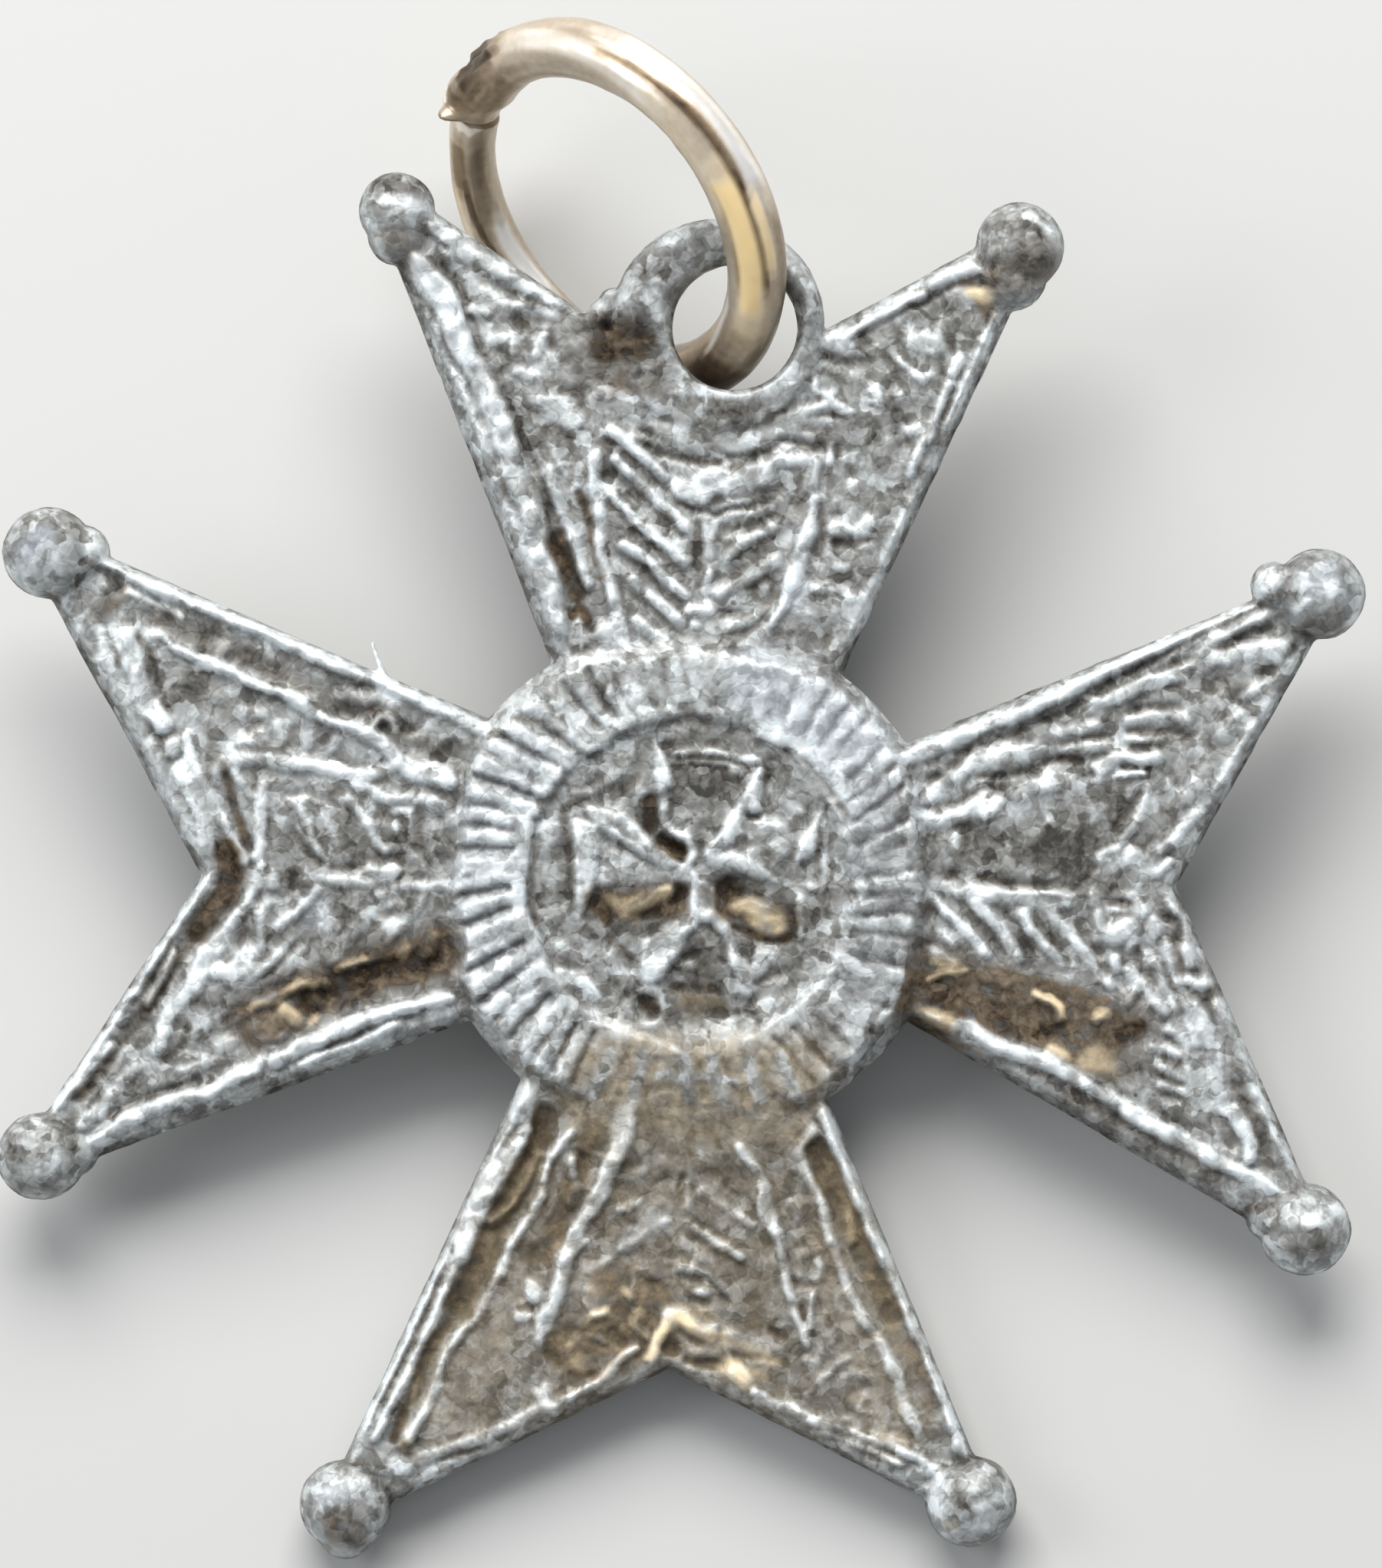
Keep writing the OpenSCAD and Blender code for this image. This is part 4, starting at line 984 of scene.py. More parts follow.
# painted highlights and painted shade on the balls, with a little dirt and tan
s(0.14, (3.92, 7.98), (3.96, 7.96), shade=1.3)
s(0.2, (3.72, 8.14), (3.86, 8.24), shade=0.5)
s(0.4, (4.2, 8.1), (4.4, 8.25), shade=0.35, cool=0.3)
s(0.16, (-4.44, 7.88), (-4.24, 7.78), (-4.02, 7.86), shade=1.3)
s(0.22, (-3.56, 8.04), (-3.5, 7.78), shade=1)
s(0.18, (-3.84, 7.9), (-3.76, 7.82), shade=-0.8)
s(0.4, (-4.3, 8.4), (-3.8, 8.46), dirt=0.15, shade=-0.5)
s(0.16, (-3.8, 8.22), (-3.66, 8.16), gold=0.2, shade=0.4)
s(0.3, (-4.3, 7.6), (-4.05, 7.45), shade=0.5)
# crests are rubbed clean of the film
patch.dirt *= 1 - 0.8 * smooth_step(0.35, 0.8, patch.shine)
patch.tell("bottom arm")

# %% The right arm: its left side
patch, r, g, s = start_arm()
# left rim, at the very edge
patch.wear = 0.92
s(1.3, (-1.9, 3.4), (-2.7, 6.2), shade=-0.1)
r(0.18, 0.3, 1, (-2.6, 4.7), (-2.4, 4.33), (-2.23, 3.93), (-2.1, 3.67))
r(0.22, 0.28, 0.75, (-2.1, 3.67), (-1.96, 3.36), (-1.84, 3.02), (-1.7, 2.74))
r(0.15, 0.28, 0.85, (-4.2, 7.52), (-3.9, 7.18), (-3.6, 6.7), (-3.42, 6.3))
r(0.17, 0.3, 1, (-3.44, 6.36), (-3.36, 6.14))
r(0.16, 0.28, 0.95, (-3.36, 6.14), (-3.2, 5.8), (-2.9, 5.26), (-2.6, 4.7))
g(0.09, 0.11, 0.2, (-2.52, 5.02), (-2.3, 4.66), (-2.12, 4.2), (-1.9, 3.8), (-1.82, 3.46))
g(0.08, 0.1, 0.2, (-4, 7.58), (-3.7, 7.02), (-3.5, 6.62), (-3.28, 6.22), (-3.02, 5.82), (-2.72, 5.3))
r(0.11, 0.2, 0.6, (-3.86, 7.66), (-3.64, 7.2), (-3.36, 6.76))
r(0.15, 0.22, 0.95, (-3.28, 6.66), (-3.18, 6.58))
g(0.11, 0.11, 0.3, (-3.58, 7.46), (-3.42, 7.08), (-3.26, 6.84))
r(0.2, 0.18, 0.6, (-3.36, 7.6), (-3.24, 7.2), (-3.1, 6.72), (-2.9, 6.24), (-2.7, 5.76), (-2.52, 5.4))
r(0.16, 0.2, 0.95, (-3.3, 7.58), (-3.2, 7.52))
g(0.11, 0.09, 0.3, (-3.12, 6.38), (-2.98, 6.02))
r(0.15, 0.18, 1, (-2.8, 7.26), (-2.7, 7.16))
g(0.2, 0.1, 0.3, (-2.82, 6.86), (-2.76, 6.72))
g(0.13, 0.09, 0.3, (-3.06, 7.44), (-2.98, 7.3))
g(0.16, 0.1, 0.3, (-3.36, 7.78), (-3.26, 7.74))
r(0.18, 0.18, 0.9, (-2.5, 5.22), (-2.46, 5.18))
# long soft stripes left of the panel
r(0.13, 0.15, 0.45, (-2.35, 6.42), (-2.34, 6), (-2.3, 5.66))
g(0.11, 0.1, 0.3, (-2.48, 6.3), (-2.46, 5.94), (-2.42, 5.7))
g(0.1, 0.1, 0.3, (-2.18, 6.52), (-2.15, 6.22), (-2.16, 5.7))
r(0.08, 0.13, 0.5, (-2.04, 6.1), (-2.04, 5.66))
g(0.08, 0.09, 0.3, (-1.96, 6.1), (-1.94, 5.72))
g(0.08, 0.1, 0.3, (-2.08, 5.44), (-2.07, 5.16), (-1.98, 4.8))
r(0.17, 0.14, 0.5, (-1.95, 5.34), (-1.92, 5.08), (-1.86, 4.84))
r(0.15, 0.14, 0.45, (-2.2, 5.3), (-2.14, 4.9), (-2.06, 4.56))
r(0.28, 0.13, 0.45, (-1.9, 4.48), (-1.78, 4.16), (-1.72, 3.92))
g(0.13, 0.13, 0.4, (-1.78, 5.02), (-1.76, 4.8))
g(0.09, 0.11, 0.3, (-1.76, 4.8), (-1.64, 4.52), (-1.56, 4.2), (-1.48, 3.94), (-1.48, 3.74))
r(0.16, 0.18, 0.85, (-1.72, 3.66), (-1.48, 3.48))
g(0.12, 0.09, 0.3, (-1.8, 3.6), (-1.64, 3.36))
g(0.13, 0.12, 0.4, (-1.5, 3.2), (-1.46, 3.12))
r(0.2, 0.14, 0.6, (-1.34, 3.2), (-1.22, 3.06))
r(0.18, 0.18, 0.95, (-1.34, 2.86), (-1.3, 2.78))
patch.tell("right arm")

# %% The right arm: spear, band and the smooth half of the panel
# the spear and the broad band
r(0.16, 0.24, 1, (-1.84, 6.04), (-1.77, 5.82))
r(0.12, 0.22, 0.9, (-1.8, 5.76), (-1.83, 5.58))
r(0.19, 0.24, 1, (-1.8, 5.5), (-1.68, 5.28))
r(0.09, 0.16, 0.7, (-1.64, 5.86), (-1.6, 5.52), (-1.5, 5.2))
r(0.12, 0.18, 0.9, (-1.46, 5.08), (-1.42, 5))
g(0.08, 0.09, 0.3, (-1.7, 5.9), (-1.7, 5.6))
r(0.2, 0.17, 0.55, (-1.5, 4.9), (-1.42, 4.5), (-1.28, 4.18))
r(0.17, 0.2, 0.9, (-1.18, 3.98), (-1, 3.82))
r(0.2, 0.19, 0.85, (-1.12, 3.8), (-0.98, 3.5), (-0.93, 3.22), (-0.98, 2.9))
g(0.09, 0.1, 0.3, (-1.38, 4.04), (-1.34, 3.8), (-1.16, 3.56))
g(0.11, 0.08, 0.3, (-1.16, 3.44), (-1.14, 3.22))
# the smooth dark half of the panel
s(0.95, (-1, 5.35), (-0.6, 4.8), shade=-0.6)
s(0.85, (-0.65, 4.8), (-0.55, 3.8), shade=-0.6)
patch.wear = 0.85
r(0.1, 0.15, 0.5, (-1.47, 5.93), (-1.17, 5.87), (-0.9, 5.7), (-0.77, 5.57))
r(0.09, 0.15, 0.65, (-0.66, 5.52), (-0.58, 5.38), (-0.44, 5.32))
r(0.11, 0.15, 0.8, (-0.92, 5.76), (-0.78, 5.58))
g(0.09, 0.1, 0.3, (-1.44, 5.88), (-1.18, 5.7), (-0.92, 5.5))
g(0.07, 0.08, 0.3, (-0.68, 5.5), (-0.6, 5.3), (-0.54, 5.06))
r(0.16, 0.08, 0.2, (-1.2, 5.3), (-1, 5.2))
r(0.12, 0.05, 0.05, (-0.98, 4.7), (-0.72, 4.48))
r(0.11, 0.15, 0.8, (-0.72, 3.46), (-0.54, 3.44))
g(0.09, 0.1, 0.4, (-0.38, 5.24), (-0.14, 5.04), (-0.1, 4.68), (-0.13, 4.28), (-0.18, 3.8))
g(0.13, 0.1, 0.4, (-0.24, 3.46), (-0.2, 3.38))
g(0.1, 0.07, 0.4, (-0.85, 3.62), (-0.5, 3.54))
r(0.14, 0.1, 0.3, (-0.7, 3.3), (-0.4, 3.3))
patch.tell("right arm")

# %% The right arm: spine and slanting strokes
r(0.2, 0.2, 0.75, (0.06, 4.96), (0.06, 4.66), (0.04, 4.3), (0.03, 3.95), (-0.02, 3.55))
r(0.13, 0.18, 0.65, (-0.04, 3.5), (-0.06, 3.2), (-0.1, 2.95))
r(0.15, 0.2, 1, (0.07, 4.98))
r(0.14, 0.2, 0.9, (0.03, 3.17), (0.27, 3.4), (0.5, 3.66), (0.78, 3.91))
r(0.14, 0.2, 0.8, (0.07, 3.7), (0.3, 3.93), (0.53, 4.13), (0.82, 4.35))
r(0.14, 0.2, 0.75, (0.26, 4.36), (0.47, 4.47), (0.67, 4.67), (0.87, 4.88))
r(0.13, 0.19, 0.7, (0.14, 4.7), (0.3, 4.8), (0.52, 4.99), (0.74, 5.18), (1.02, 5.4))
g(0.11, 0.09, 0.3, (0.14, 3.6), (0.34, 3.76), (0.6, 4), (0.76, 4.14))
g(0.12, 0.11, 0.3, (0.28, 4.14), (0.52, 4.33), (0.74, 4.48))
g(0.11, 0.1, 0.3, (0.3, 4.54), (0.57, 4.76), (0.86, 4.98))
g(0.13, 0.12, 0.3, (0.34, 5.1), (0.6, 5.2), (0.74, 5.42))
r(0.1, 0.12, 0.3, (0.56, 3.34), (0.76, 3.5))
s(0.26, (0.2, 3.12), (0.7, 3.25), dirt=0.5)
r(0.13, 0.16, 0.8, (1.06, 5.46), (1.14, 5.52))
# white lumps at the head of the panel
r(0.3, 0.26, 1, (0.4, 5.78), (0.5, 5.54))
r(0.16, 0.24, 1, (0.5, 5.82), (0.64, 5.82))
r(0.17, 0.22, 1, (0.22, 5.32), (0.38, 5.38))
r(0.17, 0.2, 1, (-0.04, 5.26), (0.04, 5.24))
r(0.16, 0.18, 0.85, (0.08, 5.88), (0.18, 5.92))
r(0.09, 0.14, 0.6, (0.18, 5.72), (0.16, 5.48))
g(0.08, 0.09, 0.3, (0.08, 5.76), (0.08, 5.5))
r(0.2, 0.12, 0.3, (0.44, 5.38), (0.54, 5.34))
r(0.13, 0.18, 0.95, (0.78, 5.62), (0.92, 5.62))
patch.tell("right arm")

# %% The right arm: both sides of the notch
# bands towards the right tip
r(0.16, 0.18, 0.6, (0.62, 6.28), (1, 6.4), (1.34, 6.53), (1.86, 6.7))
r(0.1, 0.16, 0.55, (0.8, 6.13), (1.17, 6.27), (1.48, 6.43))
g(0.07, 0.08, 0.2, (0.84, 6.24), (1.2, 6.34), (1.5, 6.5))
r(0.13, 0.17, 0.6, (0.94, 5.76), (1.14, 5.94), (1.38, 6.1), (1.5, 6.28))
r(0.22, 0.14, 0.6, (0.76, 6.02), (0.86, 5.98))
g(0.1, 0.1, 0.3, (0.68, 5.88), (0.9, 5.94), (1.12, 6.1))
g(0.1, 0.08, 0.3, (0.95, 5.62), (1.2, 5.74), (1.32, 5.92))
r(0.12, 0.14, 0.5, (1.22, 5.82), (1.36, 5.76))
r(0.2, 0.13, 0.45, (0.25, 6.14), (0.48, 6.06))
r(0.14, 0.2, 0.75, (0.62, 6.5), (0.84, 6.56))
r(0.11, 0.24, 0.95, (1.04, 6.86), (1.15, 6.72), (1.06, 6.56))
g(0.12, 0.1, 0.3, (0.94, 6.7), (0.96, 6.62))
g(0.13, 0.12, 0.4, (0.18, 6.2), (0.3, 6.4), (0.74, 6.4), (0.96, 6.46))
r(0.09, 0.22, 0.45, (0.02, 6.28), (0.28, 6.5), (0.66, 6.74))
r(0.22, 0.18, 0.6, (1.42, 6.68), (1.92, 6.92), (2.34, 6.97), (2.72, 7.1))
r(0.24, 0.26, 1, (2.76, 7.24), (2.92, 7.3))
r(0.18, 0.26, 1, (2.92, 7.32), (3.1, 7.42), (3.32, 7.42))
r(0.12, 0.24, 0.5, (1.34, 7.04), (1.84, 7.28), (2.34, 7.5), (2.9, 7.75), (3.4, 7.96))
g(0.16, 0.1, 0.4, (1.1, 6.92), (1.3, 6.84))
g(0.2, 0.1, 0.3, (2.4, 7.28), (3.1, 7.6), (3.44, 7.66))
g(0.18, 0.1, 0.3, (2.86, 6.96), (3.1, 7.16))
# four short stripes, each with a groove beside it. Columns: its foot's place, its run
stripes = (
    (1.95, 6.12, 0.05, 0.38), (2.2, 6.2, 0.12, 0.4), (2.44, 6.2, 0.06, 0.32), (1.72, 6.3, 0.18, 0.28),
)
for x, y, dx, dy in stripes:
    r(0.11, 0.13, 0.4, (x, y), (x + dx, y + dy))
    g(0.07, 0.07, 0.3, (x + 0.11, y), (x + dx + 0.11, y + dy))
r(0.12, 0.12, 0.4, (2, 6.56), (2.3, 6.66), (2.54, 6.56))
# left of the notch
r(0.15, 0.22, 0.9, (-1.12, 6.58), (-0.93, 6.4), (-0.74, 6.27), (-0.62, 6.16))
r(0.11, 0.2, 0.9, (-0.48, 6.3), (-0.34, 6.12))
r(0.1, 0.2, 0.4, (-2.3, 7.26), (-1.8, 7), (-1.4, 6.78))
r(0.3, 0.1, 0.4, (-0.4, 5.94), (-0.28, 5.88))
r(0.18, 0.11, 0.4, (-0.6, 5.76), (-0.48, 5.72))
g(0.09, 0.08, 0.3, (-0.8, 6.04), (-0.66, 5.92), (-0.7, 5.78))
g(0.1, 0.08, 0.3, (-0.3, 5.6), (-0.14, 5.72), (-0.14, 5.5))
g(0.12, 0.08, 0.3, (-1.36, 6.14), (-1.14, 6.16))
g(0.11, 0.08, 0.3, (-1.66, 6.2), (-1.5, 6.32))
r(0.24, 0.1, 0.35, (-1.7, 6.7), (-1.3, 6.44))
r(0.2, 0.1, 0.35, (-2.4, 7.1), (-2.2, 6.9))
patch.tell("right arm")

# %% The right arm: its brown channel and right rim
# brown channel
s(1.75, (1.32, 3.3), (1.44, 4), (1.64, 4.8), (1.82, 5.3), dirt=1, shade=-0.02)
patch.rub(0.44, 0.85, (0.5, 3.3), (0.74, 4.1), (0.88, 4.9), (1.1, 5.6))
g(0.8, 0.05, 0.8, (1.15, 3.3), (1.3, 4), (1.55, 4.7), (1.8, 5.4))
g(0.4, 0.06, 1, (1.26, 3.3), (1.6, 4.15), (1.85, 4.6))
g(0.24, 0.06, 1, (1.7, 5.92), (1.84, 5.7))
s(0.4, (1.75, 5.7), (1.95, 5.1), dirt=0.95)
s(0.4, (2.15, 5.55), (2.2, 5.25), dirt=0.55, gold=0.35)
g(0.16, 0.05, 1, (1.5, 4.56), (1.62, 4.44))
patch.lump(0.1, 0.2, 0.6, 0.12, (1.31, 4.56), (1.39, 4.77), (1.52, 4.9), (1.64, 4.9), gold=0.75, shade=0.9)
patch.lump(0.19, 0.22, 0.8, 0.2, (2.04, 4.76), (2.12, 4.92), gold=0.6, shade=0.8)
r(0.14, 0.2, 0.6, (0.86, 3.22), (0.88, 3.34))
r(0.08, 0.18, 0.5, (0.9, 3.38), (0.94, 3.6))
s(0.15, (0.86, 3.2), (0.9, 3.5), gold=0.65, shade=0.7)
r(0.09, 0.14, 0.3, (1, 3.66), (1.1, 3.32), (1.2, 3.2))
s(0.1, (1, 3.66), (1.14, 3.24), gold=0.4)
patch.lump(0.11, 0.14, 0.4, 0.12, (1.58, 5.52), (1.62, 5.38), gold=0.5, shade=0.3)
r(0.14, 0.1, 0.1, (1.7, 3.9), (1.5, 3.6))
r(0.12, 0.1, 0.1, (1.2, 4.2), (1.1, 3.9))
# right rim: a jagged white line, with a broad dull flank outside
r(0.2, 0.34, 1, (1.66, 3.4), (1.82, 3.78), (2.03, 4.27), (2.2, 4.7), (2.4, 5.17), (2.6, 5.55))
r(0.15, 0.32, 0.8, (1.58, 3.12), (1.66, 3.4))
patch.rub(0.3, 0.9, (1.8, 3.6), (2.03, 4.27), (2.2, 4.7), (2.4, 5.17), (2.6, 5.55), (2.9, 6.02))
s(0.2, (1.62, 3.2), (1.74, 3.55), gold=0.4)
r(0.24, 0.34, 1, (2.6, 5.55), (2.9, 6.02), (3.1, 6.42))
r(0.22, 0.33, 1, (3.1, 6.42), (3.3, 6.78), (3.46, 7.15), (3.7, 7.6), (3.86, 7.84))
g(0.08, 0.08, 0.2, (2.52, 5.66), (2.8, 6.14), (3.02, 6.6))
g(0.1, 0.12, 0.4, (3.94, 7.72), (4.02, 7.44))
s(0.4, (2.55, 4.9), (3.6, 6.9), dirt=0.3, shade=-0.3)
patch.tell("right arm")

# %% The right arm: painted highlights and shade on the balls, and dirt
# painted highlights and painted shade on the balls, with a little dirt
s(0.5, (-4.4, 8.2), (-4.2, 8), cool=0.5, shade=-0.1)
s(1, (-4.15, 8.4), (-4.2, 8.1), cool=0.2, shade=0.25)
s(1, (4.05, 8.45), (4.15, 8.15), shade=0.25)
s(0.18, (-4.22, 8.36), (-4.12, 8.32), shade=1.2)
s(0.16, (-3.8, 8.6), (-3.74, 8.52), shade=1.1)
s(0.5, (-3.7, 8.3), (-3.6, 8.05), dirt=0.3, shade=-0.35)
s(0.13, (-4.04, 7.92), (-3.86, 7.76), shade=1.3)
s(0.3, (4, 8.55), (4, 8.25), shade=0.9)
s(0.16, (3.8, 8.3), (3.82, 8.1), shade=0.8)
s(0.5, (4.4, 8.35), (4.45, 8.05), dirt=0.3, shade=-0.4)
patch.tell("right arm")

# %% [markdown]
# ## The round centre
# The centre is a low round boss. A wreath of short ribs runs round it, clear on the left and
# rubbed nearly away at the top, with a worn bead ring inside it. In the sunk middle stands a
# small flared cross whose blades and edges caught the wear. Brown deposits with tan lumps sit
# on both sides of its lower arm. Ribs on a circle are a plain loop, and their strength
# follows a short table of sectors.

# %% The centre's wreath
CENTRE_REACH = 3.8
CENTRE = slice(int((HALF - CENTRE_REACH) / CELL), int((HALF + CENTRE_REACH) / CELL) + 1)
RIBS = 58
RIB_TURN = 2.0
GAP_TURN = 3.1
RIB_FROM_R, RIB_TO_R = 2.22, 3.1
BEAD_TOP = MEDAL_TOP - 0.05
# Columns: from degrees, to degrees, rise, shine
RIB_SECTORS = [
    (-70, -20, 0.21, 0.45),
    (-20, 25, 0.15, 0.32),
    (25, 60, 0.14, 0.62),
    (60, 105, 0.06, 0.25),
    (105, 135, 0.12, 0.38),
    (135, 215, 0.2, 0.7),
    (215, 245, 0.19, 0.38),
    (245, 290, 0.1, 0.1),
]
# Columns: from degrees, to degrees, shine of the bead ring
BEAD_ARCS = [(28, 66, 0.9), (162, 204, 0.8), (205, 262, 0.35), (100, 130, 0.3), (-60, -25, 0.25)]


def wreath(patch):
    """Shapes the boss, cut lower between the strong ribs at the left, then its ribs and beads."""
    radius = np.hypot(patch.wx, patch.wy)
    turn = np.degrees(np.arctan2(patch.wy, patch.wx))
    strong = smooth_step(75, 50, np.abs((turn - 175 + 180) % 360 - 180))
    band = np.clip(1 - ((radius - 2.62) / 0.56) ** 2, 0, 1)
    wreath_top = MEDAL_TOP - 0.04 - 0.06 * strong + 0.05 * band
    patch.height[:] = MEDAL_FIELD + (wreath_top - MEDAL_FIELD) * smooth_step(1.72, 2.32, radius)
    patch.shade[:] = -0.4 * smooth_step(2.1, 1.6, radius)
    for k in range(RIBS):
        angle = k * 360 / RIBS + RIB_TURN + 0.9 * math.sin(k * 2.3)
        signed = (angle + 70) % 360 - 70
        rise, shine = next(row[2:] for row in RIB_SECTORS if row[0] <= signed < row[1])
        rib = [polar(RIB_FROM_R, angle - 1.5), polar(RIB_TO_R, angle + 1.8)]
        patch.ridge(0.19, 1.3 * rise, shine, *rib, base=BEAD_TOP, fade=(1.0, 0.8))
        gap = [polar(2.3, angle + GAP_TURN - 1.5), polar(3.08, angle + GAP_TURN + 1.8)]
        patch.groove(0.06, rise * 0.6, 0.1, *gap)
    for start, end, shine in BEAD_ARCS:
        patch.ridge(0.18, 0.13, shine, *arc(2.2, start, end), base=BEAD_TOP)


centre = Patch(MEDAL_FIELD, *[field[CENTRE, CENTRE] for field in (GRID_X, GRID_Y, *NOISES)])
wreath(centre)
print("wreath of", RIBS, "ribs")
centre.tell("centre")

# %% The small cross: upper and right arms
r, g, s = centre.ridge, centre.groove, centre.stain_and_painted_light
# the upper arm: two bright blades with a dark field between them
s(0.6, (0.1, 1.35), (0.52, 1.32), shade=-0.45)
s(0.4, (0.2, 1.05), (0.16, 0.5), shade=-0.6)
centre.plate(0.27, 1, (-0.5, 1.84), (-0.5, 1.38), (-0.39, 1.14), (-0.19, 1.26))
r(0.09, 0.14, 0.65, (-0.25, 1.7), (0.35, 1.72), (0.87, 1.63))
r(0.07, 0.1, 0.45, (-0.3, 1.58), (0.15, 1.6), (0.45, 1.58))
g(0.06, 0.06, 0.2, (-0.2, 1.64), (0.5, 1.64))
r(0.16, 0.12, 0.8, (0.52, 1.51), (0.62, 1.5))
centre.plate(0.29, 1, (0.89, 1.56), (0.5, 0.92), (0.62, 0.9), (0.9, 0.96))
centre.plate(0.29, 1, (0.66, 1.18), (0.2, 0.42), (0.4, 0.38), (0.68, 0.86))
g(0.07, 0.09, 0.2, (0.96, 1.52), (0.97, 1.05))
# the right arm: a pale floor, a bright lower edge and a white leaf at its end
centre.plate(0.15, 0.52, (0.42, 0.42), (1.12, 0.22), (1.34, 0.45), (1.24, 0.78), (0.64, 0.88))
centre.plate(0.27, 1, (0.2, 0.42), (0.28, 0.26), (0.84, 0.07), (1.16, 0.09), (0.98, 0.23), (0.57, 0.4))
r(0.08, 0.22, 0.9, (0.44, 0.48), (0.58, 0.68), (0.83, 0.66))
g(0.07, 0.06, 0.1, (0.62, 0.5), (0.9, 0.5), (1.1, 0.62))
g(0.12, 0.1, 0.3, (0.68, 0.91), (0.86, 0.88))
centre.plate(0.25, 1, (1.63, 0.94), (1.4, 0.58), (1.42, 0.32), (1.61, 0.48))
r(0.07, 0.17, 0.7, (1.7, 0.86), (1.75, 0.5), (1.74, 0.02))
g(0.06, 0.07, 0.2, (1.66, 0.56), (1.62, 0.1))
r(0.12, 0.14, 0.6, (1.6, 0.02), (1.7, -0.06))
centre.tell("centre")

# %% The small cross: left arm and the brown pits
# brown pits between the upper and left arms, with a pale curl round the lower one
g(0.2, 0.13, 1, (-0.54, 1.04), (-0.52, 0.72))
g(0.24, 0.2, 1, (-0.36, 0.48), (-0.16, 0.4))
r(0.13, 0.22, 0.9, (-0.32, 1.11), (-0.33, 0.8), (-0.2, 0.66), (-0.04, 0.55), (0.05, 0.39),
  (-0.03, 0.22), (-0.12, 0.18))
# the left arm: a bright blade, a pale floor and a white bar at its end
centre.plate(0.28, 1, (-1.36, 0.94), (-1.2, 0.68), (-0.72, 0.38), (-0.34, 0.16), (-0.14, 0.24),
             (-0.64, 0.66), (-0.88, 0.86))
g(0.05, 0.08, 0.2, (-1.12, 0.8), (-0.92, 0.64), (-0.66, 0.5))
centre.plate(0.12, 0.4, (-1.16, 0.46), (-1.14, -0.08), (-0.4, -0.04), (-0.3, 0.14))
centre.plate(0.28, 1, (-1.5, 0.75), (-1.5, 0.2), (-1.44, -0.52), (-1.28, -0.18), (-1.16, 0.3),
             (-1.17, 0.68))
g(0.05, 0.06, 0.3, (-1.58, 0.7), (-1.57, 0.2), (-1.52, -0.4))
r(0.18, 0.17, 0.4, (-0.24, 0.1), (0.06, 0.1))
r(0.09, 0.17, 0.6, (0.05, -0.02), (0.06, -0.36))
r(0.07, 0.15, 0.5, (0.33, -0.06), (0.34, -0.34))
r(0.2, 0.14, 0.25, (0.19, -0.04), (0.2, -0.3))
# brown pits with tan lumps under the left and right arms
g(0.24, 0.13, 1, (-0.13, -0.14), (-0.16, -0.32))
g(0.18, 0.1, 1, (-0.4, -0.42), (-0.56, -0.42))
g(0.2, 0.1, 1, (-1.14, -0.36), (-1.04, -0.52))
s(0.62, (-1.15, -0.3), (-0.2, -0.25), dirt=0.95)
centre.lump(0.15, 0.18, 0.3, 0.15, (-0.78, -0.36), (-0.6, -0.26), (-0.44, -0.16),
            (-0.26, -0.12), gold=0.6, shade=0.3)
s(0.24, (-1, -0.22), (-0.84, -0.24), gold=0.2)
g(0.28, 0.16, 1, (0.5, -0.04), (0.56, -0.12))
s(0.58, (0.5, -0.22), (1.24, -0.44), dirt=0.95)
centre.lump(0.26, 0.24, 0.4, 0.26, (0.64, -0.28), (0.8, -0.3), gold=0.5, shade=0.3)
centre.lump(0.36, 0.22, 0.4, 0.38, (0.92, -0.38), (1.12, -0.46), gold=0.55, shade=0.4)
g(0.06, 0.1, 0.8, (1.1, -0.36), (1.2, -0.5), (1.12, -0.58))
g(0.06, 0.09, 0.7, (0.72, -0.42), (0.88, -0.5))
g(0.1, 0.1, 0.9, (0.62, -0.56), (0.96, -0.68), (1.3, -0.66))
r(0.1, 0.15, 0.5, (1.46, -0.16), (1.48, -0.64))
centre.tell("centre")

# %% The small cross: lower arm and marks in the field
# the lower arm: two legs with a dark field between them
centre.plate(0.2, 0.6, (0.12, -0.4), (-0.28, -0.6), (-0.56, -0.8), (-0.58, -1.26), (-0.38, -1.36),
             (-0.14, -0.96))
centre.plate(0.28, 1, (-0.56, -0.98), (-0.56, -1.28), (-0.38, -1.34), (-0.26, -1.14), (-0.4, -1))
r(0.17, 0.28, 1, (0.1, -0.42), (-0.06, -0.7), (-0.18, -0.98), (-0.34, -1.22))
r(0.17, 0.27, 1, (0.14, -0.4), (0.34, -0.42), (0.5, -0.6), (0.6, -0.84), (0.62, -1.02))
r(0.24, 0.16, 0.5, (0.66, -1.04), (0.8, -1.34))
s(0.36, (0.2, -0.76), (0.2, -1.1), shade=-0.4, dirt=0.2)
g(0.12, 0.1, 0.5, (0, -1), (0.12, -0.94))
g(0.12, 0.09, 0.5, (-0.1, -1.4), (0.4, -1.42))
s(0.44, (0, -1.58), (0.36, -1.6), dirt=0.65, gold=0.05)
r(0.2, 0.14, 0.4, (0.7, -1.3), (1, -1))
r(0.16, 0.12, 0.3, (0.95, -0.9), (1.3, -0.95))
g(0.1, 0.08, 0.4, (0.9, -1.24), (1.2, -1.14))
